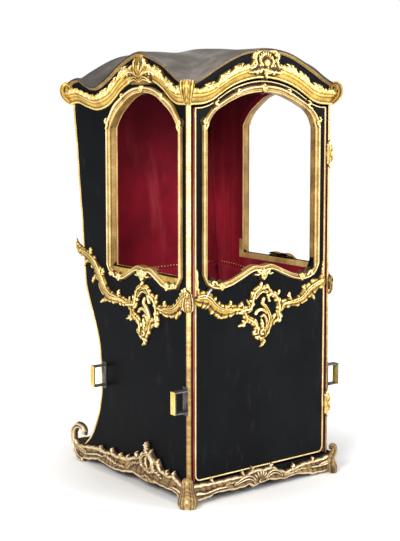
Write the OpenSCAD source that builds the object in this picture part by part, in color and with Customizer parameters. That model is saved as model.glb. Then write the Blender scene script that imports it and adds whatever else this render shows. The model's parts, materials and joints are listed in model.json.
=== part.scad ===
// Sedan chair: a carried cabin with a front door, an upholstered seat and two pairs of pole brackets.
// Frame: +Z up, the door faces -Y, the door's hinges are on the +X side. The origin is on the floor,
// at the middle of the bounding box. Depths called "d" in curves are measured back from the door's face.

/* [Cabin] */
// Width over the side panels
cabin_w = 740; // [700:5:800]
// Depth over the front and back corners at the cornice
cabin_d = 835; // [800:5:880]
// Thickness of a side wall
wall = 26; // [20:1:30]
// Thickness of the door
door_t = 28; // [24:1:32]
// Thickness of the lining cloth and its backing
lining_t = 6; // [4:1:8]

/* [Cornice and roof] */
// Height of the roof's edge at the corners
eaves_z = 1642; // [1636:1:1650]
// Thickness of the leather roof
roof_t = 6; // [4:1:8]
// How far the roof's edge stands out from the walls
eaves_out = 26; // [20:1:30]
// Sharpness of the valleys between the roof's four arches
valley_power = 6; // [3:0.5:8]

/* [Windows] */
// Middle of the side window, back from the door's face
side_win_mid = 294; // [290:1:300]
// Half the width of a side window's opening
side_win_half = 236; // [225:1:240]
// Half the width of the door window's opening
door_win_half = 280; // [270:1:284]
// Height of the straight sill in a side window
sill_z = 892; // [888:1:896]

/* [Door] */
// Height of the door's bottom edge
door_bottom = 90; // [88:1:96]
// Gap between the door and the posts
door_gap = 7; // [6:1:8]
// How far the door stands open, for a look at it
door_open = 0; // [0:5:95]

/* [Pole brackets] */
// How far a bracket stands out from the side
bracket_out = 62; // [50:1:70]
// Height of a bracket over all
bracket_h = 89; // [80:1:100]
// Width of the strap
bracket_w = 30; // [24:1:36]
// Thickness of the strap
strap_t = 5; // [4:0.5:6]
// Height of a bracket's lower edge
bracket_z = 372; // [350:1:390]

/* [Seat] */
// Height of the seat board's top
seat_z = 388; // [360:1:400]
// Thickness of the cushion
cushion_t = 62; // [50:1:80]

/* [Hidden] */
$fn = 48;

half_w = cabin_w / 2;
front = -cabin_d / 2;
back = cabin_d / 2;
gilt = "goldenrod";
lacquer = "black";
velvet = "firebrick";
iron = "dimgray";
eps = 0.01;

// ---- Curves -------------------------------------------------------------------------------------
// A curve is a list of [distance, height] knots, joined by smooth cubics.

function knot_slope(k, i) =
  let (a = max(i - 1, 0), b = min(i + 1, len(k) - 1)) (k[b][1] - k[a][1]) / (k[b][0] - k[a][0]);

function knot_before(k, t, i = 0) =
  (i >= len(k) - 2 || t <= k[i + 1][0]) ? i : knot_before(k, t, i + 1);

// Height of curve k at distance t. A curve that is mirrored about its first knot is level there.
function curve(k, t, level_start = false) =
  let (
    c = min(max(t, k[0][0]), k[len(k) - 1][0]),
    i = knot_before(k, c),
    w = k[i + 1][0] - k[i][0],
    s = (c - k[i][0]) / w,
    m0 = (i == 0 && level_start) ? 0 : knot_slope(k, i),
    m1 = knot_slope(k, i + 1)
  )
  (2 * s ^ 3 - 3 * s ^ 2 + 1) * k[i][1] + (s ^ 3 - 2 * s ^ 2 + s) * w * m0
    + (3 * s ^ 2 - 2 * s ^ 3) * k[i + 1][1] + (s ^ 3 - s ^ 2) * w * m1;

function reversed(p) = [for (i = [len(p) - 1:-1:0]) p[i]];
function steps(a, b, n) = [for (i = [0:n]) a + (b - a) * i / n];

// Front and back cornice, from the middle out to the corner.
front_low = [[0, 1666], [60, 1661], [117, 1648], [170, 1628], [217, 1602], [258, 1578], [300, 1565],
             [340, 1562], [370, 1561]];
front_top = [[0, 1772], [60, 1768], [118, 1757], [180, 1733], [257, 1694], [310, 1664],
             [345, 1648], [370, 1642]];
// Side cornice, from the front corner to the back one: an arch over the window, then a dip and a crest.
side_low = [[0, 1561], [60, 1563], [100, 1580], [150, 1617], [215, 1648], [294, 1659], [373, 1648],
            [440, 1620], [488, 1585], [545, 1553], [625, 1537], [700, 1549], [770, 1566], [835, 1560]];
side_top = [[0, 1642], [22, 1648], [66, 1670], [131, 1709], [231, 1746], [294, 1760], [365, 1746],
            [450, 1708], [531, 1663], [600, 1632], [645, 1626], [700, 1642], [750, 1662], [800, 1656],
            [835, 1642]];
// Profile of the back, from the base up, as [height, depth].
back_profile = [[48, 800], [62, 783], [80, 757], [110, 722], [154, 689], [200, 665], [245, 647],
                [300, 632], [347, 623], [410, 621], [472, 628], [550, 640], [623, 668], [695, 702],
                [760, 732], [810, 744], [865, 750], [963, 759], [1078, 768], [1147, 778], [1395, 806],
                [1548, 826], [1700, 835]];
// Window arches, from the middle out to the shoulder.
side_arch = [[0, 1603], [50, 1599], [93, 1586], [118, 1572], [142, 1557], [193, 1519], [222, 1484],
             [236, 1462]];
door_arch = [[0, 1607], [60, 1602], [103, 1593], [160, 1572], [195, 1556], [237, 1533], [266, 1500],
             [280, 1466]];
// Outer edges of the gilt mouldings round those arches.
side_arch_out = [[0, 1630], [50, 1627], [93, 1616], [146, 1591], [202, 1558], [234, 1518], [256, 1484],
                 [264, 1462]];
door_arch_out = [[0, 1635], [60, 1631], [103, 1621], [150, 1603], [191, 1582], [222, 1565], [255, 1544],
                 [280, 1520], [298, 1492], [308, 1466]];
// Bottom edges of the wavy mouldings under the windows, from the middle out to the corner.
side_wave = [[0, 884], [47, 887], [95, 865], [142, 843], [198, 842], [242, 868], [264, 905]];
door_wave = [[0, 892], [47, 896], [117, 868], [170, 848], [232, 842], [284, 866], [308, 915]];
// Waist garlands: the line that the moulding follows.
front_waist = [[86, 742], [120, 746], [180, 742], [225, 752], [270, 778], [312, 805], [335, 818]];
side_waist = [[0, 822], [30, 806], [66, 776], [120, 757], [190, 757], [300, 757], [400, 750],
              [470, 752], [540, 768], [590, 808], [640, 858], [690, 903], [748, 936]];
// Base rails: the carved top edge and the scalloped bottom edge, from the front corner back.
side_base_top = [[-28, 78], [60, 76], [120, 84], [190, 96], [250, 122], [285, 160], [320, 128], [380, 118],
                 [440, 104], [500, 76], [560, 76], [620, 84], [680, 88], [740, 74], [790, 60]];
side_base_low = [[-28, 0], [48, 0], [80, 16], [200, 24], [290, 16], [370, 18], [460, 30], [600, 24],
                 [670, 16], [700, 0], [805, 0]];
front_base_top = [[0, 80], [50, 81], [110, 74], [160, 80], [210, 80], [270, 72], [330, 74], [370, 76]];
front_base_low = [[0, 10], [60, 14], [130, 22], [240, 22], [290, 12], [316, 0], [370, 0]];

// ---- Roof surface -------------------------------------------------------------------------------

roof_nx = 30;
roof_ny = 34;
roof_xs = steps(-half_w - eaves_out, half_w + eaves_out, roof_nx);
roof_ds = steps(-eaves_out, cabin_d + eaves_out, roof_ny);

function front_rise(x) = max(curve(front_top, abs(x), true) - eaves_z, 0);
function side_rise(d) = curve(side_top, d) - eaves_z;

// Height of the roof's underside: two crossing vaults, with soft valleys running up from the corners.
function roof_z(x, d) =
  let (f = front_rise(x), s = side_rise(d), fade = 1 - min(1, f / 40))
  eaves_z + (f ^ valley_power + max(s, 0) ^ valley_power) ^ (1 / valley_power) + min(s, 0) * fade;

// A closed sheet over the grid xs by ds, between heights roof_z + low and roof_z + high.
module roof_sheet(xs, ds, low, high) {
  nx = len(xs);
  nd = len(ds);
  top = [for (d = ds) for (x = xs) [x, front + d, roof_z(x, d) + high]];
  bottom = [for (d = ds) for (x = xs) [x, front + d, roof_z(x, d) + low]];
  n = nx * nd;
  rim = concat(
    [for (i = [0:nx - 2]) i],
    [for (j = [0:nd - 2]) j * nx + nx - 1],
    [for (i = [nx - 1:-1:1]) (nd - 1) * nx + i],
    [for (j = [nd - 1:-1:1]) j * nx]
  );
  cells = [for (j = [0:nd - 2]) for (i = [0:nx - 2]) j * nx + i];
  faces = concat(
    [for (c = cells) [c, c + nx, c + nx + 1]],
    [for (c = cells) [c, c + nx + 1, c + 1]],
    [for (c = cells) [n + c, n + c + nx + 1, n + c + nx]],
    [for (c = cells) [n + c, n + c + 1, n + c + nx + 1]],
    [for (r = [0:len(rim) - 1]) let (a = rim[r], b = rim[(r + 1) % len(rim)]) [a, b, n + b]],
    [for (r = [0:len(rim) - 1]) let (a = rim[r], b = rim[(r + 1) % len(rim)]) [a, n + b, n + a]]
  );
  polyhedron(points = concat(top, bottom), faces = faces);
}

// ---- Placing flat outlines ----------------------------------------------------------------------

// An outline in [x, z], extruded backwards from depth d for t.
module front_plate(d, t) translate([0, front + d + t, 0]) rotate([90, 0, 0]) linear_extrude(t) children();

// An outline in [depth, z], extruded from x for t towards +X.
module side_plate(x, t)
  translate([x, front, 0]) rotate([90, 0, 90]) linear_extrude(t) children();

// The same on either side: side is -1 for the left and 1 for the right, out is the distance of the
// outer face from the wall's face, and t the thickness inwards.
module flank(side, out, t)
  side_plate(side < 0 ? -half_w - out : half_w + out - t, t) children();

function mirrored(half) = concat([for (p = reversed(half)) [-p[0], p[1]]], [for (i = [1:len(half) - 1]) half[i]]);

// ---- Outlines -----------------------------------------------------------------------------------

// Band between two curves over the distances ts.
module band(low, high) polygon(concat(low, reversed(high)));

function back_depth(z) = curve(back_profile, z);

// Strip that follows the back's profile, between two insets from its outer face.
module back_strip(z0, z1, inset0, inset1) {
  zs = steps(z0, z1, 48);
  band([for (z = zs) [back_depth(z) - inset0, z]], [for (z = zs) [back_depth(z) - inset1, z]]);
}

// Opening with an arched top; grow widens it all round. centre moves it along.
function arch_opening(arch, bottom, centre, grow) =
  let (
    last = arch[len(arch) - 1][0],
    us = steps(0, last, 20),
    half = [for (u = us) [u * (last + grow) / last, curve(arch, u, true) + grow]]
  )
  concat(
    [[centre - last - grow, bottom]],
    [for (p = mirrored(half)) [centre + p[0], p[1]]],
    [[centre + last + grow, bottom]]
  );

// The same opening with the wavy moulding's line as its bottom edge.
function wavy_opening(arch, wave, centre, lift) =
  let (
    last = arch[len(arch) - 1][0],
    sill = wave[len(wave) - 1][0],
    us = steps(0, last, 24),
    top = [for (u = us) [u, curve(arch, u, true)]],
    low = [for (u = us) [u, curve(wave, u * sill / last, true) + lift]]
  )
  concat(
    [for (p = mirrored(top)) [centre + p[0], p[1]]],
    [for (p = reversed(mirrored(low))) [centre + p[0], p[1]]]
  );

// ---- Base ---------------------------------------------------------------------------------------

rail_t = 28;
ledge_h = 48;
ledge_w = 40;
floor_t = 16;

module floor_board()
  color("saddlebrown") translate([-half_w + wall, front + door_t + 3, ledge_h])
    cube([cabin_w - 2 * wall, 725, floor_t]);

module front_sill()
  color(lacquer) translate([-half_w, front, 22]) cube([cabin_w, door_t, 61]);

module base_rail_front() {
  us = steps(0, half_w, 30);
  low = [for (u = us) [u, curve(front_base_low, u, true)]];
  high = [for (u = us) [u, curve(front_base_top, u, true)]];
  color(gilt) front_plate(-rail_t, rail_t - eps) band(mirrored(low), mirrored(high));
}

module base_rail_back() {
  us = steps(0, half_w - wall, 30);
  low = [for (u = us) [u, curve(front_base_low, u, true)]];
  color(gilt) front_plate(774, rail_t) band(mirrored(low), mirrored([for (u = us) [u, ledge_h - eps]]));
}

// Volute that curls up at the back end of a side rail, in [depth, z].
module rail_volute() {
  eye = [771, 103];
  difference() {
    union() {
      translate(eye) circle(r = 48);
      polygon([[770, 0], [800, 4], [816, 30], [819, 103], [790, 103], [770, 50]]);
    }
    polygon([[700, 98], [771, 98], [783, 84], [776, 60], [720, 40]]);
  }
}

// Carved feet that stand out round the front corners.
module base_corners()
  color(gilt) difference() {
    for (sx = [-1, 1]) translate([sx * (half_w + 20), front - 20, 0]) cylinder(h = 118, r = 38);
    translate([-half_w - rail_t - 0.5, front - rail_t - 0.5, -1])
      cube([cabin_w + 2 * rail_t + 1, 400, 200]);
  }

module base_rail(side) {
  ds = steps(-rail_t, 786, 60);
  low = [for (d = ds) [d, curve(side_base_low, d)]];
  high = [for (d = ds) [d, curve(side_base_top, d)]];
  color(gilt) {
    flank(side, rail_t, rail_t) {
      band(low, high);
      rail_volute();
    }
    // The ledge that carries the floor and the wall.
    flank(side, 0, ledge_w) polygon([[door_t + eps, 22], [770, 22], [770, ledge_h], [door_t + eps, ledge_h]]);
  }
}

// ---- Posts and walls ----------------------------------------------------------------------------

post_face = 20;
bead_d = 9;
post_d = 52;
stop_w = 22;

function cornice_low_side(d) = curve(side_low, d);
function cornice_low_front(x) = curve(front_low, abs(x), true);

// Front corner post, with the rebate that the door shuts against.
module front_post(side) {
  outer = side < 0 ? -half_w : half_w - post_face;
  inner = side < 0 ? -half_w + post_face : half_w - post_face - stop_w;
  color(lacquer) {
    union() {
      translate([outer, front + bead_d, 83]) cube([post_face, post_d - bead_d, 1474]);
      translate([inner, front + door_t + 5, 83]) cube([stop_w, post_d - door_t - 5, 1474]);
    }
  }
}

module front_bead(side)
  color(gilt) translate([side < 0 ? -half_w : half_w - post_face, front, 83])
    cube([post_face, bead_d, 1474]);

module back_post(side)
  color(gilt) flank(side, 0, wall) back_strip(ledge_h, 1555, 0, 16);

module side_panel(side) {
  ds = steps(post_d, cabin_d - 30, 60);
  zs = steps(ledge_h, 1536, 48);
  color(lacquer) flank(side, 0, wall) difference() {
    polygon(concat(
      [[post_d, ledge_h]],
      [for (z = zs) [back_depth(z) - 17, z]],
      reversed([for (d = ds) [d, cornice_low_side(d) - 1.2]])
    ));
    polygon(arch_opening(side_arch, sill_z, side_win_mid, 0));
  }
}

// Field under the front or back cornice, as wide as the room between the side panels.
module arched_field(top_gap) {
  xs = steps(-half_w + wall, half_w - wall, 40);
  polygon(concat(
    [[half_w - wall, ledge_h], [-half_w + wall, ledge_h]],
    [for (x = xs) [x, cornice_low_front(x) - top_gap]]
  ));
}

module back_panel()
  color(lacquer) intersection() {
    side_plate(-half_w + wall, cabin_w - 2 * wall) back_strip(ledge_h, 1680, 1, 21);
    front_plate(500, 400) arched_field(0.6);
  }

// ---- Cornice ------------------------------------------------------------------------------------

gilt_h = 44;
crest_out = 20;
edge_h = 14;

// Each cornice is a frame with a gilt moulding along its foot and a strip at the roof's edge.
module cornice_across(d_face, way) {
  xs = [for (x = roof_xs) x];
  low = [for (x = xs) [x, cornice_low_front(min(abs(x), half_w))]];
  high = [for (x = xs) [x, roof_z(x, way > 0 ? -eaves_out : cabin_d + eaves_out) - eps]];
  mid = [for (p = low) [p[0], p[1] + gilt_h]];
  edge = [for (p = high) [p[0], p[1] - edge_h]];
  color(gilt) {
    front_plate(way > 0 ? d_face - 8 : d_face - wall, wall + 8) band(low, high);
    front_plate(way > 0 ? d_face - crest_out : d_face + 8 - eps, crest_out - 8 + eps) band(low, mid);
    front_plate(way > 0 ? d_face - eaves_out : d_face + 8 - eps, eaves_out - 8 + eps) band(edge, high);
  }
}

module cornice_along(side) {
  ds = [for (d = roof_ds) if (d > wall + 4 && d < cabin_d - wall - 4) d];
  all = concat([wall], ds, [cabin_d - wall]);
  low = [for (d = all) [d, cornice_low_side(d)]];
  high = [for (d = all) [d, eaves_z + side_rise(d) - eps]];
  mid = [for (p = low) [p[0], p[1] + gilt_h]];
  edge = [for (p = high) [p[0], p[1] - edge_h]];
  color(gilt) {
    flank(side, 8, wall + 8) band(low, high);
    flank(side, crest_out, crest_out - 8 + eps) band(low, mid);
    flank(side, eaves_out, eaves_out - 8 + eps) band(edge, high);
  }
}

// Upright volutes that stand out at the cornice's four corners.
module cornice_scroll(sx, sd) {
  x = sx * (half_w + 8);
  y = sd < 0 ? front - 8 : back + 8;
  turn = atan2(sd, sx);
  translate([x, y, 0]) rotate([0, 0, turn]) translate([12, 0, 0]) {
    translate([0, 16, 1640]) rotate([90, 0, 0]) cylinder(h = 32, r = 30);
    translate([-12, -14, 1563]) cube([22, 28, 70]);
  }
}

module cornice_scrolls()
  color(gilt) difference() {
    union() {
      for (sx = [-1, 1]) for (sd = [-1, 1]) cornice_scroll(sx, sd);
    }
    translate([-half_w - eaves_out - 0.5, front - eaves_out - 0.5, 1500])
      cube([cabin_w + 2 * eaves_out + 1, cabin_d + 2 * eaves_out + 1, 300]);
  }

module roof() color(lacquer) roof_sheet(roof_xs, roof_ds, 0.3, 0.3 + roof_t);

// ---- Window mouldings ---------------------------------------------------------------------------

moulding_t = 14;
wave_h = 24;

module window_frame(side)
  color(gilt) flank(side, moulding_t, moulding_t - eps) difference() {
    polygon(wavy_opening(side_arch_out, side_wave, side_win_mid, 0));
    polygon(wavy_opening(side_arch, side_wave, side_win_mid, wave_h));
  }

// Flat frame on the inside of a side window.
module inner_frame(side)
  color("peru") flank(side, -wall, 8) difference() {
    intersection() {
      polygon(arch_opening(side_arch, sill_z - 24, side_win_mid, 24));
      translate([post_d + 1, 0]) square([600, 2000]);
    }
    polygon(arch_opening(side_arch, sill_z, side_win_mid, 0));
  }

// ---- Waist garlands -----------------------------------------------------------------------------

waist_h = 28;
waist_t = 12;

// Pierced cartouche in the middle of a garland, in [across, z].
module cartouche(centre) {
  translate([centre, 722]) difference() {
    polygon([[0, 132], [-30, 100], [-62, 62], [-96, 30], [-94, -30], [-52, -62], [-26, -104], [0, -132],
             [20, -100], [50, -62], [98, -40], [100, 30], [66, 66], [32, 100]]);
    translate([0, -4]) scale([1, 1.3]) circle(r = 38);
  }
}

module garland(low_knots, ts) {
  mid = [for (t = ts) [t, curve(low_knots, abs(t))]];
  band([for (p = mid) [p[0], p[1] - waist_h / 2]], [for (p = mid) [p[0], p[1] + waist_h / 2]]);
}

module waist_moulding_side(side)
  color(gilt) flank(side, waist_t, waist_t - eps) {
    garland(side_waist, steps(0, 738, 60));
    cartouche(side_win_mid);
  }

module front_garland(reach) {
  for (s = [-1, 1]) garland(front_waist, [for (u = steps(84, reach, 24)) s * u]);
  cartouche(0);
}

module waist_moulding_back() {
  color(gilt) intersection() {
    side_plate(-half_w + wall, cabin_w - 2 * wall) back_strip(560, 900, -waist_t, 0.5);
    front_plate(500, 400) front_garland(half_w - wall - 2);
  }
}

// ---- Lining and seat ----------------------------------------------------------------------------

module side_lining(side) {
  ds = steps(post_d, cabin_d - 60, 50);
  zs = steps(66, 1560, 40);
  color(velvet) flank(side, -wall - eps, lining_t) difference() {
    polygon(concat(
      [[post_d, 66]],
      [for (z = zs) [back_depth(z) - 31, z]],
      reversed([for (d = ds) [d, eaves_z + side_rise(d) - 34]])
    ));
    polygon(arch_opening(side_arch, sill_z - 26, side_win_mid, 26));
  }
}

module back_lining()
  color(velvet) intersection() {
    side_plate(-half_w + wall, cabin_w - 2 * wall) back_strip(66, 1690, 25, 30);
    front_plate(500, 400) arched_field(2);
  }

module ceiling_lining()
  color(velvet) roof_sheet(
    steps(-half_w + wall + lining_t + 1, half_w - wall - lining_t - 1, 14),
    steps(wall + 4, cabin_d - wall - 10, 16),
    -26, -20
  );

pad_t = 16;
pad_top = [[360, 640], [400, 700], [430, 790], [480, 812], [540, 822], [610, 828], [760, 828]];

// Padded arm and back rest along a side wall, with its swept front edge.
module arm_pad(side) {
  ds = steps(360, 700, 30);
  zs = steps(470, 828, 20);
  color(velvet) flank(side, -wall - lining_t - 0.5, pad_t) polygon(concat(
    [[360, 470]],
    [for (z = zs) [back_depth(z) - 50, z]],
    reversed([for (d = ds) if (d < 690) [d, curve(pad_top, d)]])
  ));
}

module back_pad()
  color(velvet) side_plate(-half_w + wall + lining_t + 1, cabin_w - 2 * (wall + lining_t + 1))
    back_strip(470, 828, 31, 48);

seat_front = 190;
seat_half = half_w - wall - lining_t - 2;

module seat_riser()
  color(velvet) translate([-seat_half, front + seat_front, ledge_h + floor_t])
    cube([2 * seat_half, 18, seat_z - 18 - ledge_h - floor_t]);

module seat_board()
  color("saddlebrown") translate([-seat_half, front + seat_front, seat_z - 18])
    cube([2 * seat_half, 398, 18]);

module seat_cushion()
  color(velvet) translate([0, front + seat_front - 6, seat_z]) {
    r = 24;
    hull() for (sx = [-1, 1]) for (y = [r, 400 - r]) translate([sx * (seat_half - 4 - r), y, 0.3]) {
      translate([0, 0, 10]) cylinder(h = cushion_t - 20.3, r = r, $fn = 24);
      cylinder(h = cushion_t - 0.3, r = r - 10, $fn = 24);
    }
  }

// ---- Pole brackets ------------------------------------------------------------------------------

// Strap bent into a loop that a carrying pole slides through.
module pole_bracket(side, d) {
  color(iron) translate([side * half_w, front + d, bracket_z]) mirror([side < 0 ? 1 : 0, 0, 0])
    difference() {
      union() {
        translate([eps, -bracket_w / 2, 0]) cube([bracket_out, bracket_w, bracket_h]);
        translate([eps, -bracket_w / 2, -12]) cube([3, bracket_w, bracket_h + 24]);
      }
      translate([3, -bracket_w, strap_t])
        cube([bracket_out - strap_t - 3, 2 * bracket_w, bracket_h - 2 * strap_t]);
    }
}

front_bracket_d = 17;
back_bracket_d = 590;

// ---- Door ---------------------------------------------------------------------------------------

door_half = half_w - post_face - door_gap;
hinge_x = half_w - 23;
hinge_d = -9;
hinge_zs = [300, 1354];
knuckle_r = 6;
pin_r = 3;
knuckle_h = 22;

door_top_drop = 16;

function door_top(x) = cornice_low_front(x) - door_top_drop;

module door_outline(inset) {
  xs = steps(-door_half + inset, door_half - inset, 40);
  polygon(concat(
    [[door_half - inset, door_bottom + inset], [-door_half + inset, door_bottom + inset]],
    [for (x = xs) [x, door_top(x) - inset]]
  ));
}

module swing(a) translate([hinge_x, front + hinge_d, 0]) rotate([0, 0, a])
  translate([-hinge_x, -front - hinge_d, 0]) children();

module door_panel()
  color(lacquer) front_plate(0, door_t - lining_t) difference() {
    door_outline(0);
    polygon(wavy_opening(door_arch, door_wave, 0, wave_h / 2));
  }

// Room in the door's lining round its window, a little larger than the window.
function door_lining_room() =
  let (p = wavy_opening(door_arch, door_wave, 0, wave_h / 2))
  [for (q = p) [q[0] * 1.02, q[1] + (q[1] > 1200 ? 5 : -5)]];

module door_lining()
  color(velvet) front_plate(door_t - lining_t + eps, lining_t - 1) difference() {
    door_outline(4);
    polygon(door_lining_room());
  }

module door_bead()
  color(gilt) front_plate(-4, 4 - eps) difference() {
    door_outline(3);
    door_outline(11);
  }

module door_window_frame()
  color(gilt) front_plate(-moulding_t, moulding_t - eps) difference() {
    polygon(wavy_opening(door_arch_out, door_wave, 0, 0));
    polygon(wavy_opening(door_arch, door_wave, 0, wave_h));
  }

module door_waist_moulding()
  color(gilt) front_plate(-waist_t, waist_t - eps) front_garland(328);

// Latch lever that hangs aslant from its spindle.
module door_handle()
  color("darkgoldenrod") translate([-272, front, 845]) {
    translate([0, eps, 0]) rotate([90, 0, 0]) cylinder(h = 16, r = 5);
    translate([0, -12, 0]) rotate([0, 215, 0]) cylinder(h = 40, r = 4);
  }

// ---- Hinges -------------------------------------------------------------------------------------

module knuckle(z) translate([hinge_x, front + hinge_d, z]) cylinder(h = knuckle_h, r = knuckle_r);

module leaf(x, w, z, h)
  translate([x, front - 3, z]) cube([w, 3 - eps, h]);

// Leaves on the post, with two knuckles, the pin and its finials.
module hinge_post_leaves()
  color("darkgoldenrod") for (z = hinge_zs) {
    for (k = [-1, 1]) {
      knuckle(z + k * (knuckle_h + 1) - knuckle_h / 2);
      translate([hinge_x, front + hinge_d, z + k * (1.5 * knuckle_h + 4)]) sphere(r = 7);
      leaf(hinge_x + 3, 20, z + k * (knuckle_h + 1) - knuckle_h / 2, knuckle_h);
      translate([hinge_x, front - 8, z + k * (knuckle_h + 1) - knuckle_h / 2]) cube([6, 8 - eps, knuckle_h]);
    }
    translate([hinge_x, front + hinge_d, z - 1.5 * knuckle_h - 2])
      cylinder(h = 3 * knuckle_h + 4, r = pin_r);
  }

// Leaves on the door, each with the middle knuckle.
module hinge_door_leaves()
  color("darkgoldenrod") for (z = hinge_zs) difference() {
    union() {
      knuckle(z - knuckle_h / 2);
      translate([hinge_x - 7, front - 8, z - knuckle_h / 2]) cube([7, 8 - eps, knuckle_h]);
    }
    translate([hinge_x, front + hinge_d, z - knuckle_h])
      cylinder(h = 2 * knuckle_h, r = pin_r + 0.05);
  }

// ---- Assembly -----------------------------------------------------------------------------------

floor_board();
front_sill();
base_rail_front();
base_rail_back();
base_rail(-1);  // base_rail_left
base_rail(1);  // base_rail_right
base_corners();
front_post(-1);  // front_post_left
front_post(1);  // front_post_right
front_bead(-1);  // front_bead_left
front_bead(1);  // front_bead_right
back_post(-1);  // back_post_left
back_post(1);  // back_post_right
side_panel(-1);  // side_panel_left
side_panel(1);  // side_panel_right
back_panel();
cornice_across(0, 1);  // cornice_front
cornice_across(cabin_d, -1);  // cornice_back
cornice_along(-1);  // cornice_left
cornice_along(1);  // cornice_right
cornice_scrolls();
roof();
window_frame(-1);  // window_frame_left
window_frame(1);  // window_frame_right
inner_frame(-1);  // inner_frame_left
inner_frame(1);  // inner_frame_right
waist_moulding_side(-1);  // waist_moulding_left
waist_moulding_side(1);  // waist_moulding_right
waist_moulding_back();
side_lining(-1);  // lining_left
side_lining(1);  // lining_right
back_lining();  // lining_back
ceiling_lining();  // lining_ceiling
arm_pad(-1);  // arm_pad_left
arm_pad(1);  // arm_pad_right
back_pad();
seat_riser();
seat_board();
seat_cushion();
pole_bracket(-1, front_bracket_d);  // pole_bracket_front_left
pole_bracket(1, front_bracket_d);  // pole_bracket_front_right
pole_bracket(-1, back_bracket_d);  // pole_bracket_back_left
pole_bracket(1, back_bracket_d);  // pole_bracket_back_right
hinge_post_leaves();
swing(door_open) door_panel();
swing(door_open) door_bead();
swing(door_open) door_window_frame();
swing(door_open) door_waist_moulding();
swing(door_open) door_lining();
swing(door_open) door_handle();
swing(door_open) hinge_door_leaves();
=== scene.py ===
"""Sedan chair: carved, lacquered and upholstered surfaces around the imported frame.

Lengths are in millimetres until a mesh is made. The door faces -Y and its face is at y = FRONT.
Distances along a side wall are measured back from the door's face.
"""
import json
import math

import bmesh
import bpy
import numpy as np
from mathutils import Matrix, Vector


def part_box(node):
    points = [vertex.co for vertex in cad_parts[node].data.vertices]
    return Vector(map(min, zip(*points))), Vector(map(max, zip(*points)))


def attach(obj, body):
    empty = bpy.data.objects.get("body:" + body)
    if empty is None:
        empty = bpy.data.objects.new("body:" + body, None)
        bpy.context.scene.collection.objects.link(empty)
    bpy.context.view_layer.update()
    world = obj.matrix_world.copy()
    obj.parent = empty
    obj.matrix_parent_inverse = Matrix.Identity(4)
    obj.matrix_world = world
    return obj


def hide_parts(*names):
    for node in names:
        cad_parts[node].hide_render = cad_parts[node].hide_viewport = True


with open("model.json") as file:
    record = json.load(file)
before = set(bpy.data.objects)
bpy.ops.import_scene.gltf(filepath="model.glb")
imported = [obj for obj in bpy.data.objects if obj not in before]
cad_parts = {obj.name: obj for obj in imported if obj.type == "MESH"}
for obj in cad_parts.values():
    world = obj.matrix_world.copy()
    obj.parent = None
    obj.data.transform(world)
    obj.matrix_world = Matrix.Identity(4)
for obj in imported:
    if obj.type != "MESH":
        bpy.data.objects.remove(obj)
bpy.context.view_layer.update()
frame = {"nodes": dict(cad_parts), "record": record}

MM = 0.001
FRONT = -417.5  # the door's face, on y
DEPTH = 835.0  # from the door's face to the back of the cornice
HALF_W = 370.0
WALL = 26.0
EAVES_Z = 1642.0
EAVES_OUT = 26.0  # how far the roof reaches past the cabin
VALLEY = 6.0  # how sharply the roof's two vaults meet
SIDE_MID = 294.0  # the middle of the side windows, from the door's face
SILL_Z = 892.0
WAVE_H = 24.0  # height of the wavy moulding under a window
DOOR_HALF = 343.0
GILT_H = 60.0  # height of the cornice's gilt moulding
CORNICE_DROP = 5.0
EDGE_H = 11.0  # height of the strip along the roof's edge
FIELD_OUT = 8.0  # how far the cornice's black field stands out
RAISED = 13.0  # how far the cornice's carvings stand out
LINING_X = 339.0
LINING_FOOT = 68.0
PAD_FOOT = 473.0
BACK_FOOT = 806.0  # the back's foot, from the door's face

# ---- Curves, the same as the cabin's own ---------------------------------------------------------

FRONT_LOW = [(0, 1666), (60, 1661), (117, 1648), (170, 1628), (217, 1602), (258, 1578), (300, 1565),
             (340, 1562), (370, 1561)]
FRONT_TOP = [(0, 1772), (60, 1768), (118, 1757), (180, 1733), (257, 1694), (310, 1664),
             (345, 1648), (370, 1642)]
SIDE_LOW = [(0, 1561), (60, 1563), (100, 1580), (150, 1617), (215, 1648), (294, 1659), (373, 1648),
            (440, 1620), (488, 1585), (545, 1553), (625, 1537), (700, 1549), (770, 1566), (835, 1560)]
SIDE_TOP = [(0, 1642), (22, 1648), (66, 1670), (131, 1709), (231, 1746), (294, 1760), (365, 1746),
            (450, 1708), (531, 1663), (600, 1632), (645, 1626), (700, 1642), (750, 1662), (800, 1656),
            (835, 1642)]
BACK_PROFILE = [(48, 800), (62, 783), (80, 757), (110, 722), (154, 689), (200, 665), (245, 647),
                (300, 632), (347, 623), (410, 621), (472, 628), (550, 640), (623, 668), (695, 702),
                (760, 732), (810, 744), (865, 750), (963, 759), (1078, 768), (1147, 778), (1395, 806),
                (1548, 826), (1700, 835)]
SIDE_ARCH = [(0, 1603), (50, 1599), (93, 1586), (118, 1572), (142, 1557), (193, 1519), (222, 1484),
             (236, 1462)]
DOOR_ARCH = [(0, 1607), (60, 1602), (103, 1593), (160, 1572), (195, 1556), (237, 1533), (266, 1500),
             (280, 1466)]
SIDE_ARCH_OUT = [(0, 1630), (50, 1627), (93, 1616), (146, 1591), (202, 1558), (234, 1518), (256, 1484),
                 (264, 1462)]
DOOR_ARCH_OUT = [(0, 1635), (60, 1631), (103, 1621), (150, 1603), (191, 1582), (222, 1565), (255, 1544),
                 (280, 1520), (298, 1492), (308, 1466)]
SIDE_WAVE = [(0, 884), (47, 887), (95, 865), (142, 843), (198, 842), (242, 868), (264, 905)]
DOOR_WAVE = [(0, 892), (47, 896), (117, 868), (170, 848), (232, 842), (284, 866), (308, 915)]
ARM_TOP = [(360, 640), (400, 700), (430, 790), (480, 812), (540, 822), (610, 828), (760, 828)]


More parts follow.
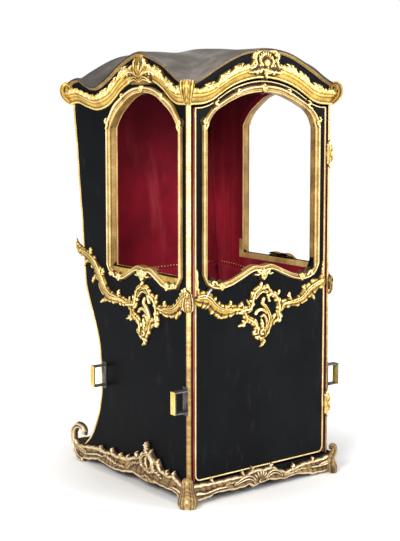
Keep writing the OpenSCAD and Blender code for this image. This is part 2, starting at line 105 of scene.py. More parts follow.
def curve(knots, t, level_start=False):
    """Height of the smooth curve through knots at distance t; level at its first knot if asked."""
    k = np.asarray(knots, float)
    t = np.clip(np.asarray(t, float), k[0, 0], k[-1, 0])
    slope = np.empty(len(k))
    slope[1:-1] = (k[2:, 1] - k[:-2, 1]) / (k[2:, 0] - k[:-2, 0])
    slope[0] = 0 if level_start else (k[1, 1] - k[0, 1]) / (k[1, 0] - k[0, 0])
    slope[-1] = (k[-1, 1] - k[-2, 1]) / (k[-1, 0] - k[-2, 0])
    i = np.clip(np.searchsorted(k[:, 0], t, side="right") - 1, 0, len(k) - 2)
    w = k[i + 1, 0] - k[i, 0]
    s = (t - k[i, 0]) / w
    return ((2 * s**3 - 3 * s**2 + 1) * k[i, 1] + (s**3 - 2 * s**2 + s) * w * slope[i]
            + (3 * s**2 - 2 * s**3) * k[i + 1, 1] + (s**3 - s**2) * w * slope[i + 1])


def front_low(x):
    return curve(FRONT_LOW, np.abs(x), True)


def roof_z(x, d):
    """Height of the roof's underside at x and distance d back from the door's face."""
    f = np.maximum(curve(FRONT_TOP, np.abs(x), True) - EAVES_Z, 0)
    s = curve(SIDE_TOP, d) - EAVES_Z
    fade = 1 - np.minimum(1, f / 40)
    up = np.maximum(s, 0)
    return EAVES_Z + (f**VALLEY + up**VALLEY) ** (1 / VALLEY) + np.minimum(s, 0) * fade


def back_depth(z):
    return curve(BACK_PROFILE, z)


# ---- Faces: where a point (along, up, out) of a wall lies in space --------------------------------

def on_front(s, z, h):
    return np.stack([s, FRONT - h, z], -1)


def on_left(s, z, h):
    return np.stack([-HALF_W - h, FRONT + s, z], -1)


def on_right(s, z, h):
    return np.stack([HALF_W + h, FRONT + s, z], -1)


def back_slope(z):
    return (back_depth(z + 2) - back_depth(z - 2)) / 4


def on_back(s, z, h):
    slope = back_slope(z)
    n = np.sqrt(1 + slope**2)
    return np.stack([s, FRONT + back_depth(z) + h / n, z - h * slope / n], -1)


def on_back_arch(s, z, h):
    return np.stack([s, FRONT + DEPTH + h, z], -1)


def on_back_foot(s, z, h):
    """Upright face level with the back's foot."""
    return np.stack([s, FRONT + BACK_FOOT + h, z], -1)


FLIPPED = (on_left, on_back, on_back_arch, on_back_foot)
SIDES_OF_CABIN = (("left", on_left), ("right", on_right))


def lifted(face, by):
    """The same face, moved out by a distance."""
    def moved(s, z, h):
        return face(s, z, h + by)
    moved.base = face
    return moved


def flips(face):
    return getattr(face, "base", face) in FLIPPED


# ---- Meshes --------------------------------------------------------------------------------------

def finish_piece(obj, body, nodes=(), mats=()):
    bpy.context.scene.collection.objects.link(obj)
    for m in mats:
        obj.data.materials.append(m)
    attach(obj, body)
    if nodes:
        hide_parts(*nodes)
    return obj


def mesh_from(name, verts, quads, carve=None, mat_index=None):
    """A smooth shaded mesh from points in millimetres and rows of four corner numbers."""
    verts = np.ascontiguousarray(verts, dtype=np.float32) * MM
    quads = np.ascontiguousarray(quads, dtype=np.int32)
    used = np.unique(quads)
    remap = np.full(len(verts), -1, np.int32)
    remap[used] = np.arange(len(used))
    me = bpy.data.meshes.new(name)
    me.vertices.add(len(used))
    me.vertices.foreach_set("co", verts[used].ravel())
    me.loops.add(quads.size)
    me.loops.foreach_set("vertex_index", remap[quads].ravel())
    me.polygons.add(len(quads))
    me.polygons.foreach_set("loop_start", np.arange(len(quads), dtype=np.int32) * 4)
    me.update(calc_edges=True)
    me.validate()
    me.shade_smooth()
    if mat_index is not None:
        me.polygons.foreach_set("material_index", np.ascontiguousarray(mat_index, dtype=np.int32))
    a = me.attributes.new("carve", "FLOAT", "POINT")
    values = np.full(len(used), 0.6, np.float32) if carve is None else carve.astype(np.float32)[used]
    a.data.foreach_set("value", values)
    return bpy.data.objects.new(name, me)


def grid_quads(n, m, keep=None, flip=False, wrap_u=False, wrap_v=False):
    """Corner numbers of an n by m grid's cells; keep picks cells, and wrap joins an end to its start."""
    i, j = np.meshgrid(np.arange(n if wrap_u else n - 1), np.arange(m if wrap_v else m - 1), indexing="ij")
    if keep is not None:
        i, j = i[keep], j[keep]
    i, j = i.ravel(), j.ravel()
    a, b = i * m + j, ((i + 1) % n) * m + j
    c, d = ((i + 1) % n) * m + (j + 1) % m, i * m + (j + 1) % m
    return np.stack([a, d, c, b] if flip else [a, b, c, d], -1)


def grid_piece(name, pts, flip=False, carve=None, mat_index=None, **wraps):
    n, m = pts.shape[:2]
    quads = grid_quads(n, m, flip=flip, **wraps)
    return mesh_from(name, pts.reshape(-1, 3), quads, None if carve is None else carve.ravel(), mat_index)


def closed_layers(name, top, low):
    """A closed mesh from two grids of points of one size, joined round their edge."""
    n, m = top.shape[:2]
    quads = [grid_quads(n, m), grid_quads(n, m, flip=True) + n * m]
    ring = np.concatenate([np.arange(n) * m, (n - 1) * m + np.arange(1, m),
                           np.arange(n - 2, -1, -1) * m + m - 1, np.arange(m - 2, 0, -1)])
    nxt = np.roll(ring, -1)
    quads.append(np.stack([ring, ring + n * m, nxt + n * m, nxt], -1))
    return mesh_from(name, np.concatenate([top.reshape(-1, 3), low.reshape(-1, 3)]), np.concatenate(quads))


def between(inner, outer, u):
    """Rows of points from one loop to another, at the shares u of the way."""
    return inner[:, None] * (1 - u[None, :, None]) + outer[:, None] * u[None, :, None]


def upright(x, d, z):
    """A strip that runs up through the heights z, with the section (x, d) at each of them."""
    shape = (len(z), np.shape(x)[-1])
    return np.stack([np.broadcast_to(x, shape), FRONT + np.broadcast_to(d, shape),
                     np.broadcast_to(z[:, None], shape)], -1)


def smooth_line(points, n):
    """n points on a Catmull-Rom line through the given ones."""
    p = np.asarray(points, float)
    p = np.vstack([2 * p[0] - p[1], p, 2 * p[-1] - p[-2]])
    t = np.linspace(0, len(p) - 3 - 1e-9, n)
    i = t.astype(int)
    u = (t - i)[:, None]
    a, b, c, d = p[i], p[i + 1], p[i + 2], p[i + 3]
    return 0.5 * (2 * b + (c - a) * u + (2 * a - 5 * b + 4 * c - d) * u**2 + (3 * b - a - 3 * c + d) * u**3)


def along(values, t):
    v = np.atleast_1d(np.asarray(values, float))
    return np.interp(t, np.linspace(0, 1, len(v)), v) if len(v) > 1 else np.full(np.shape(t), v[0])


def blurred(h, r):
    """Mean of h over a square of 2r+1 cells."""
    out = h
    for axis in (0, 1):
        pad = [(r, r) if a == axis else (0, 0) for a in (0, 1)]
        c = np.cumsum(np.pad(out, pad, mode="edge"), axis=axis)
        zero = np.zeros_like(np.take(c, [0], axis=axis))
        c = np.concatenate([zero, c], axis=axis)
        n = out.shape[axis]
        out = (np.take(c, range(2 * r + 1, 2 * r + 1 + n), axis=axis) - np.take(c, range(n), axis=axis)) / (2 * r + 1)
    return out


def nearest(line, spots):
    """How far along the line each spot lies, how far from it, and on which side."""
    best = np.empty(len(spots), int)
    for a in range(0, len(spots), 4000):
        d2 = ((spots[a:a + 4000, None] - line[None]) ** 2).sum(-1)
        best[a:a + 4000] = d2.argmin(1)
    off = spots - line[best]
    tangent = np.gradient(line, axis=0)[best]
    side = np.sign(tangent[:, 0] * off[:, 1] - tangent[:, 1] * off[:, 0])
    return best / (len(line) - 1), np.hypot(off[:, 0], off[:, 1]), side


def plain_section(kind, q, side):
    """Height across a band from its middle, q = 0, to its edge, q = 1."""
    body = np.sqrt(np.clip(1 - np.minimum(q, 1) ** 2.4, 0, 1))
    if kind == "scroll":
        return body * (0.76 - 0.24 * np.cos(2 * math.pi * q))
    if kind == "rib":
        return body * (0.86 + 0.14 * np.cos(2 * math.pi * 2.5 * q * side))
    return body


def leafy_section(kind, t, d, side, w, lobes):
    """Half width and height of a leaf with saw teeth, or of a frond with fleshy lobes."""
    phase = t * lobes + np.where(side > 0, 0.0, 0.45)
    if kind == "leaf":
        w = w * (0.55 + 0.45 * (phase - np.floor(phase)) ** 0.65)
        q = d / np.maximum(w, 0.3)
        veins = np.cos(2 * math.pi * (phase - 0.8 * q))
        return w, q, plain_section(kind, q, side) * (0.8 + 0.2 * veins) + 0.16 * np.exp(-((q / 0.16) ** 2))
    phase = phase * 0.62 + 0.16 * np.sin(3.1 * phase)
    lobe = np.sin(math.pi * (phase - np.floor(phase)) ** 1.5) ** 0.55
    w = w * (0.60 + 0.46 * lobe)
    q = d / np.maximum(w, 0.3)
    bank = np.exp(-(((q - 0.42) / 0.16) ** 2))
    crease = (1 - lobe) * np.clip(q * 2.2 - 0.5, 0, 1)
    return w, q, plain_section(kind, q, side) * (0.92 - 0.22 * bank - 0.42 * crease + 0.10 * np.clip(q - 0.5, 0, 1))


class Relief:
    """A carving in relief: the highest of many scrolls, leaves, shells and bosses on one wall."""

    FALL = 1.5  # how steeply the height falls outside a shape
    MARGIN = 8.0  # how far round a shape its fall is drawn

    def __init__(self, s0, s1, z0, z1, step=2.4, floor=-1.2, gain=1.0):
        self.gain, self.floor = gain, floor
        self.s = np.arange(s0, s1 + step, step)
        self.z = np.arange(z0, z1 + step, step)
        self.h = np.full((len(self.s), len(self.z)), -99.0)
        self.mirror = None  # the distance along the wall that strokes are mirrored about

    def grid(self):
        return np.meshgrid(self.s, self.z, indexing="ij")

    def window(self, lo, hi):
        i = slice(*np.searchsorted(self.s, [lo[0], hi[0]]))
        j = slice(*np.searchsorted(self.z, [lo[1], hi[1]]))
        return i, j, np.stack(np.meshgrid(self.s[i], self.z[j], indexing="ij"), -1)

    def place(self, points):
        p = np.asarray(points, float)
        return p if self.mirror is None else np.stack([self.mirror - p[..., 0], p[..., 1]], -1)

    def lay(self, i, j, h):
        self.h[i, j] = np.maximum(self.h[i, j], h)

    def stroke(self, points, width, height, kind="scroll", lobes=5):
        """A carved band along a line: width is half its width, and both may vary along it."""
        p = self.place(points)
        width = np.asarray(width, float) * self.gain
        line = smooth_line(p, max(8, int(np.linalg.norm(np.diff(p, axis=0), axis=1).sum() / 2.5)))
        reach = np.max(width) + self.MARGIN
        i, j, g = self.window(line.min(0) - reach, line.max(0) + reach)
        if not g.size:
            return
        t, d, side = nearest(line, g.reshape(-1, 2))
        w = along(width, t)
        if kind in ("leaf", "frond"):
            w, q, shape = leafy_section(kind, t, d, side, w, lobes)
        else:
            q = d / np.maximum(w, 0.3)
            shape = plain_section(kind, q, side)
        h = np.where(q < 1, along(height, t) * shape, -self.FALL * (d - w))
        self.lay(i, j, h.reshape(g.shape[:2]))

    def leaves(self, lines, width, height, lobes=3):
        """A small pointed leaf along each line."""
        for line in lines:
            self.stroke(line, width, height, "leaf", lobes)

    def around(self, at, r):
        """The cells round a point, with where they lie from it and how far."""
        c = self.place(at)
        i, j, g = self.window(c - r - self.MARGIN, c + r + self.MARGIN)
        v = g - c
        return i, j, v, np.hypot(v[..., 0], v[..., 1])

    def boss(self, at, r, height, turns=0.0, petals=0):
        """A round boss, with a spiral groove or petals."""
        i, j, v, d = self.around(at, r)
        a = np.arctan2(v[..., 1], v[..., 0]) * (1 if self.mirror is None else -1)
        edge = r * (1 - (0.16 * (0.5 - 0.5 * np.cos(petals * a)) if petals else 0))
        q = d / edge
        shape = np.sqrt(np.clip(1 - np.minimum(q, 1) ** 2.2, 0, 1))
        if turns:
            shape = shape * (0.74 + 0.26 * np.cos(a + 2 * math.pi * turns * q))
        if petals:
            shape = shape * (0.84 + 0.16 * np.cos(petals * a))
        self.lay(i, j, np.where(q < 1, height * shape, -self.FALL * (d - edge)))

    def shell(self, at, r, height, a0, a1, ribs):
        """A fan of ribs from angle a0 to a1 in degrees, with a scalloped rim."""
        i, j, v, d = self.around(at, r)
        a = np.degrees(np.arctan2(v[..., 1], v[..., 0] * (1 if self.mirror is None else -1)))
        u = ((a - (a0 + a1) / 2 + 180) % 360 - 180) / (a1 - a0) + 0.5
        wave = np.abs(np.sin(math.pi * ribs * u))
        edge = r * (0.80 + 0.20 * wave)
        q = d / edge
        shape = (0.35 + 0.65 * q) * np.sqrt(np.clip(1 - np.minimum(q, 1) ** 8, 0, 1)) * (0.66 + 0.34 * wave)
        inside = (u > 0) & (u < 1) & (q < 1)
        self.lay(i, j, np.where(inside, height * shape, np.minimum(-self.FALL * (d - edge), -3.0)))

    def band(self, top, low, height, ridges=12.0, leaf=0.08, lip=2.5):
        """A broad moulding between two outlines, with flutes along it, leafy relief and a scalloped lip."""
        s, z = self.grid()
        t, b = np.array(top, float), np.array(low, float)
        hi = np.interp(s, t[:, 0], t[:, 1]) + lip * (np.abs(np.sin(s / 13.0)) + 0.6 * np.sin(s / 31.0) - 0.5)
        lo = np.interp(s, b[:, 0], b[:, 1]) - lip * (np.abs(np.sin(s / 17.0 + 1)) - 0.5)
        u = (z - lo) / np.maximum(hi - lo, 1)
        v = np.clip(2 * u - 1, -1, 1)
        edge = np.abs(v)
        lips = np.exp(-(((edge - 0.80) / 0.15) ** 2)) - 0.55 * np.exp(-(((edge - 0.55) / 0.09) ** 2))
        curl = np.abs(np.sin(s / ridges + 1.3 * v + 1.4 * np.sin(s / 43.0))) ** 0.7 * 1.6 - 1.0
        shape = np.sqrt(np.clip(1 - edge**5, 0, 1)) * (0.82 + 0.12 * lips + leaf * curl * np.clip(1.3 - edge, 0, 1))
        h = np.where((u > 0) & (u < 1), height * shape, -self.FALL * np.maximum(z - hi, lo - z))
        self.h = np.maximum(self.h, np.where((s >= t[0, 0]) & (s <= t[-1, 0]), h, -99))

    def cut(self, at, radii):
        """Pierce an oval hole."""
        s, z = self.grid()
        q = np.hypot((s - at[0]) / radii[0], (z - at[1]) / radii[1])
        self.h = np.minimum(self.h, np.where(q < 1.6, (q - 1) * 34, 99))

    def piece(self, name, face, body, mat, nodes=(), step_blur=3):
        """Make the mesh, with carve high on what stands up, as painted highlight, and low in the hollows, as grime
        and painted shade.
        """
        k = self.h > self.floor + 0.2
        keep = k[:-1, :-1] | k[1:, :-1] | k[1:, 1:] | k[:-1, 1:]
        pos = np.maximum(np.maximum(self.h, self.floor), 0)
        sharp, broad = pos - blurred(pos, step_blur), pos - blurred(pos, 2 * step_blur)
        carve = np.clip(0.21 + 0.14 * sharp + 0.06 * broad + 0.015 * pos, 0, 1)
        pts = face(*self.grid(), np.maximum(self.h, self.floor))
        quads = grid_quads(len(self.s), len(self.z), keep, flips(face))
        obj = mesh_from(name, pts.reshape(-1, 3), quads, carve.ravel())
        return finish_piece(obj, body, nodes, [mat])

    def gilded(self, name, face, body="cabin", nodes=(), step_blur=3):
        return self.piece(name, face, body, GILT, nodes, step_blur)


# ---- Materials -----------------------------------------------------------------------------------

class Shader:
    """A node material with short ways to add and join nodes."""

    def __init__(self, name, **constants):
        self.mat = bpy.data.materials.new(name)
        self.mat.use_nodes = True
        self.tree = self.mat.node_tree
        self.tree.nodes.clear()
        self.out = self.tree.nodes.new("ShaderNodeOutputMaterial")
        self.bsdf = self.tree.nodes.new("ShaderNodeBsdfPrincipled")
        self.tree.links.new(self.bsdf.outputs[0], self.out.inputs[0])
        for key, value in constants.items():
            self.bsdf.inputs[key.replace("_", " ")].default_value = value
        self.coords = self.tree.nodes.new("ShaderNodeTexCoord").outputs["Object"]

    def add(self, kind, inputs=None, **props):
        n = self.tree.nodes.new("ShaderNode" + kind)
        for key, value in props.items():
            setattr(n, key, value)
        for key, value in (inputs or {}).items():
            if isinstance(value, bpy.types.NodeSocket):
                self.tree.links.new(value, n.inputs[key])
            else:
                n.inputs[key].default_value = value
        return n

    def noise(self, scale, detail=4.0, rough=0.6, stretch=None, kind="TexNoise", **inputs):
        at = self.coords
        if stretch:
            at = self.add("Mapping", {"Vector": at, "Scale": stretch}).outputs[0]
        values = {"Vector": at, "Scale": scale, **inputs}
        if kind == "TexNoise":
            values.update(Detail=detail, Roughness=rough)
        return self.add(kind, values).outputs[0]

    def math(self, how, a, b=0.0, clamp=False):
        return self.add("Math", {0: a, 1: b}, operation=how, use_clamp=clamp).outputs[0]

    def plus(self, a, b):
        return self.math("ADD", a, b)

    def times(self, a, b):
        return self.math("MULTIPLY", a, b)

    def height(self):
        return self.add("SeparateXYZ", {0: self.coords}).outputs["Z"]

    def spread(self, value, low, high, to_low=0.0, to_high=1.0):
        return self.add("MapRange", {"Value": value, "From Min": low, "From Max": high,
                                     "To Min": to_low, "To Max": to_high}).outputs[0]

    def ramp(self, value, *stops):
        n = self.add("ValToRGB", {0: value})
        ramp = n.color_ramp
        while len(ramp.elements) < len(stops):
            ramp.elements.new(0.5)
        for e, (pos, colour) in zip(ramp.elements, stops):
            e.position, e.color = pos, (*colour, 1)
        return n.outputs[0]

    def mix(self, amount, a, b, how="MIX"):
        n = self.add("Mix", data_type="RGBA", blend_type=how)
        for socket, value in ((n.inputs[0], amount), (n.inputs[6], a), (n.inputs[7], b)):
            if isinstance(value, bpy.types.NodeSocket):
                self.tree.links.new(value, socket)
            else:
                socket.default_value = value if socket is n.inputs[0] else (*value, 1)
        return n.outputs[2]

    def to(self, socket, value):
        self.tree.links.new(value, self.bsdf.inputs[socket])

    def bump(self, height, strength, distance=0.001):
        n = self.add("Bump", {"Height": height, "Strength": strength, "Distance": distance})
        self.tree.links.new(n.outputs[0], self.bsdf.inputs["Normal"])

    def attribute(self, name):
        return self.add("Attribute", attribute_name=name).outputs["Fac"]


def gilt_material(name, deep, mid, bright, tip, grime, metal, rough):
    """Water gilding over carved wood, rubbed: bright and pale on what stands up as painted highlight, and brown in
    the hollows as grime and painted shade.
    """
    m = Shader(name, Metallic=metal, Specular_IOR_Level=0.6)
    carve = m.attribute("carve")
    patch = m.noise(14, 5, 0.65)
    fine = m.noise(160, 4, 0.7)
    level = m.plus(carve, m.spread(patch, 0.3, 0.7, -0.16, 0.12))
    level = m.math("ADD", level, m.spread(fine, 0.3, 0.7, -0.07, 0.07), clamp=True)
    # The carve ramp gives painted shade with grime in the hollows and painted highlights on the raised tips.
    colour = m.ramp(level, (0.12, deep), (0.42, mid), (0.66, bright), (0.92, tip))
    worn = m.spread(m.noise(38, 6, 0.75), 0.56, 0.70)
    colour = m.mix(m.times(worn, grime), colour, (0.20, 0.065, 0.035))
    m.to("Base Color", colour)
    m.to("Roughness", m.spread(m.plus(m.times(fine, 0.5), m.math("SUBTRACT", 1.0, level)),
                               0.3, 1.3, rough - 0.07, rough + 0.25))
    m.bump(m.plus(fine, m.times(patch, 2.0)), 0.35, 0.0006)
    return m.mat


def lacquer_material(name, low, high, rough, coat, shine=0.08):
    """Black leather under old lacquer: a fine grain, soft scuffs and a bluish bloom."""
    m = Shader(name, Coat_Weight=coat, Coat_Roughness=0.22, Specular_IOR_Level=shine)
    cloud = m.noise(3.2, 6, 0.6)
    grain = m.noise(420, 3, 0.6)
    cracks = m.noise(90, kind="TexVoronoi", stretch=(1, 1, 0.7))
    scuff = m.spread(m.noise(26, 7, 0.7, stretch=(1, 1, 0.35)), 0.57, 0.75)
    colour = m.mix(m.spread(cloud, 0.3, 0.7), low, high)
    colour = m.mix(m.times(scuff, 0.22), colour, (0.05, 0.05, 0.052))
    m.to("Base Color", colour)
    m.to("Roughness", m.plus(m.spread(cloud, 0.3, 0.7, rough - 0.05, rough + 0.07),
                             m.times(scuff, 0.12)))
    m.bump(m.plus(m.times(grain, 0.6), m.times(cracks, 0.5)), 0.22, 0.0007)
    return m.mat


def roof_material():
    """Weathered brown leather with a dry grain, darker creases and dust."""
    m = Shader("roof_leather", Specular_IOR_Level=0.3)
    cloud = m.noise(4.5, 6, 0.6)
    grain = m.noise(230, 4, 0.65)
    crackle = m.noise(70, kind="TexVoronoi")
    crease = m.noise(9, 8, 0.75, stretch=(1, 0.5, 1))
    colour = m.ramp(cloud, (0.36, (0.034, 0.027, 0.021)), (0.5, (0.075, 0.063, 0.051)), (0.66, (0.19, 0.165, 0.14)))
    colour = m.mix(m.spread(crease, 0.56, 0.7, 0.0, 0.45), colour, (0.035, 0.030, 0.027))
    m.to("Base Color", colour)
    m.to("Roughness", m.spread(cloud, 0.3, 0.7, 0.42, 0.62))
    m.bump(m.plus(m.times(grain, 0.5), m.plus(m.times(crackle, 0.7), crease)),
           0.35, 0.0012)
    return m.mat


def velvet_material(name, deep, mid, worn, low_dark=0.5):
    """Crimson pile with vertical rubbed streaks where the nap has laid down, with painted shade towards the top and
    darker towards the bottom.
    """
    m = Shader(name, Sheen_Weight=0.25, Sheen_Roughness=0.35, Roughness=0.85, Specular_IOR_Level=0.12,
               Sheen_Tint=(0.85, 0.30, 0.34, 1))
    streak = m.noise(10, 7, 0.65, stretch=(1, 1, 0.12))
    nap = m.noise(6, 5, 0.6)
    pile = m.noise(900, 2, 0.5)
    colour = m.mix(m.spread(nap, 0.3, 0.7), deep, mid)
    colour = m.mix(m.spread(streak, 0.52, 0.74, 0.0, 0.75), colour, worn)
    colour = m.mix(m.spread(pile, 0.3, 0.7, 0.0, 0.25), colour, (0.02, 0.002, 0.004))
    height = m.height()
    # Painted shade: darker towards the top of the cabin; the last argument also darkens the cloth towards the bottom.
    top_shade_and_low_dark = m.plus(m.spread(height, 1.15, 1.62, 0.0, 0.75), m.spread(height, 0.75, 0.35, 0.0, low_dark))
    colour = m.mix(top_shade_and_low_dark, colour, (0.03, 0.002, 0.006))
    m.to("Base Color", colour)
    m.bump(m.plus(pile, m.times(streak, 2.0)), 0.4, 0.0012)
    return m.mat


def plain_metal(name, colour, dark, metal, rough, scale):
    """Metal with tarnish in broad patches and fine scratches."""
    m = Shader(name, Metallic=metal)
    patch = m.noise(scale, 6, 0.7)
    fine = m.noise(scale * 14, 3, 0.6, stretch=(1, 1, 0.3))
    m.to("Base Color", m.mix(m.spread(patch, 0.42, 0.66), colour, dark))
    m.to("Roughness", m.spread(m.plus(patch, m.times(fine, 0.5)), 0.5, 1.0, rough, rough + 0.25))
    m.bump(m.plus(patch, fine), 0.2, 0.0006)
    return m.mat


def wood_material(name, dark, light, rough, cloth=None):
    """Brown wood with a long grain; cloth is the colour that covers it above the sill."""
    m = Shader(name, Specular_IOR_Level=0.4)
    grain = m.noise(22, 8, 0.6, stretch=(6, 6, 0.6))
    rings = m.add("TexWave", {"Vector": m.coords, "Scale": 9.0, "Distortion": 7.0, "Detail": 3.0},
                  bands_direction="X").outputs["Fac"]
    level = m.plus(m.times(grain, 0.7), m.times(rings, 0.3))
    colour = m.mix(m.spread(level, 0.3, 0.75), dark, light)
    if cloth:
        height = m.height()
        colour = m.mix(m.spread(height, 0.950, 0.953), colour, cloth)
    m.to("Base Color", colour)
    m.to("Roughness", m.spread(grain, 0.3, 0.7, rough - 0.08, rough + 0.12))
    m.bump(level, 0.25, 0.0006)
    return m.mat


GILT = gilt_material("gilt", (0.040, 0.018, 0.005), (0.33, 0.180, 0.026), (0.74, 0.51, 0.095),
                     (1.0, 0.87, 0.46), 0.50, 0.55, 0.32)
PALE = gilt_material("pale_gilt", (0.050, 0.026, 0.008), (0.36, 0.21, 0.055), (0.74, 0.55, 0.20),
                     (0.96, 0.86, 0.56), 0.50, 0.45, 0.34)
AGED = gilt_material("aged_gilt", (0.028, 0.014, 0.009), (0.200, 0.118, 0.042), (0.44, 0.29, 0.095),
                     (0.84, 0.67, 0.44), 0.50, 0.45, 0.38)
LACQUER = lacquer_material("lacquer", (0.0014, 0.0017, 0.0022), (0.0052, 0.0060, 0.0075), 0.36, 0.0, 0.06)
# A darker copy of the lacquer for the side panels and front posts: painted shade.
SHADED_SIDES = lacquer_material("side_lacquer_shaded", (0.0008, 0.0011, 0.0017), (0.0034, 0.0040, 0.0052), 0.40, 0.0, 0.04)
FIELD = lacquer_material("cornice_field", (0.0012, 0.0014, 0.0024), (0.004, 0.005, 0.009), 0.34, 0.0, 0.04)
ROOF = roof_material()
VELVET = velvet_material("velvet", (0.17, 0.005, 0.014), (0.34, 0.010, 0.026), (0.42, 0.045, 0.060))
PILE = velvet_material("cushion_velvet", (0.16, 0.005, 0.016), (0.34, 0.012, 0.030), (0.46, 0.050, 0.070))
WELT = velvet_material("edge_velvet", (0.18, 0.020, 0.022), (0.38, 0.070, 0.065), (0.58, 0.26, 0.20), 0.0)
STRIPPED = wood_material("inner_wood", (0.36, 0.21, 0.06), (0.68, 0.47, 0.17), 0.45)
COVERED = wood_material("covered_wood", (0.36, 0.21, 0.06), (0.68, 0.47, 0.17), 0.5, (0.17, 0.006, 0.016))
DECK = wood_material("deck_wood", (0.07, 0.035, 0.018), (0.17, 0.095, 0.045), 0.6)
IRON = plain_metal("iron", (0.17, 0.16, 0.155), (0.05, 0.042, 0.037), 0.9, 0.42, 30)
BRASS = plain_metal("brass", (0.78, 0.56, 0.24), (0.30, 0.18, 0.07), 1.0, 0.28, 40)
STEEL = plain_metal("lever_steel", (0.48, 0.47, 0.46), (0.24, 0.22, 0.20), 1.0, 0.30, 40)
SLOT_MATERIALS = {"gilt": GILT, "aged_gilt": AGED, "lacquer": LACQUER, "roof_leather": ROOF, "wood": DECK,
                  "velvet": VELVET, "iron": IRON, "brass": BRASS}
# The side panels and front posts take the darker copy of the lacquer, as painted shade.
NODE_MATERIALS = {"inner_frame_left": STRIPPED, "inner_frame_right": STRIPPED, "door_handle": STEEL,
                  "side_panel_left": SHADED_SIDES, "side_panel_right": SHADED_SIDES, "front_post_left": SHADED_SIDES,
                  "front_post_right": SHADED_SIDES}

slots = {p["node"]: p["material_slot"] for p in frame["record"]["subparts"]}
for node_name, node_obj in frame["nodes"].items():
    chosen = NODE_MATERIALS.get(node_name, SLOT_MATERIALS[slots[node_name]])
    for m_slot in node_obj.material_slots:
        m_slot.material = chosen


# ---- Roof ----------------------------------------------------------------------------------------

def crowded(n):
    """n numbers from -1 to 1, closer together towards both ends."""
    t = np.linspace(-1, 1, n)
    return 1.15 * t - 0.15 * t**3


def make_roof():
    """Leather over the vaults: slack between its boards, with a rolled edge."""
    corner = 42.0
    xs = (HALF_W + EAVES_OUT) * crowded(110)
    ds = DEPTH / 2 + (DEPTH / 2 + EAVES_OUT) * crowded(120)
    x, d = np.meshgrid(xs, ds, indexing="ij")
    z = roof_z(x, d) + 6.3
    edge = np.minimum.reduce([x - xs[0], xs[-1] - x, d - ds[0], ds[-1] - d])
    cx = np.abs(x) - (HALF_W + EAVES_OUT - corner)
    cd = np.abs(d - DEPTH / 2) - (DEPTH / 2 + EAVES_OUT - corner)
    reach = np.hypot(cx, cd)
    over = np.where((cx > 0) & (cd > 0) & (reach > corner), corner / np.maximum(reach, 1), 1)
    x = x - np.sign(x) * np.where(over < 1, cx * (1 - over), 0)
    d = d - np.sign(d - DEPTH / 2) * np.where(over < 1, cd * (1 - over), 0)
    slack = np.clip(edge / 90, 0, 1)
    z += slack * (1.6 * np.sin(x / 31 + 1.3 * np.sin(d / 57)) * np.sin(d / 43 + 0.8) - 1.5)
    z -= 6.0 * (1 - np.sqrt(np.clip(edge / 9, 0, 1)))
    top = np.stack([x, FRONT + d, z], -1)
    low = np.stack([x, FRONT + d, roof_z(x, d) + 0.3], -1)
    finish_piece(closed_layers("roof_cover", top, low), "cabin", ["roof"], [ROOF])


make_roof()


# ---- Cornices ------------------------------------------------------------------------------------

def crest_line(s, reach):
    """Height of the carved upper edge of the gilt moulding: a run of small leaning scrolls."""
    phase = s / 41.0
    saw = phase - np.floor(phase)
    wave = 0.55 * saw**0.6 + 0.45 * np.abs(np.sin(math.pi * s / 20.5 + 0.6 * np.sin(s / 30.0)))
    near = np.clip((reach - np.abs(s)) / 30, 0, 1)
    tips = np.clip(np.cos(2 * math.pi * (s / 41.0 - 0.42)), 0, 1) ** 6
    return GILT_H - 5 + (11 * wave + 7 * tips) * near


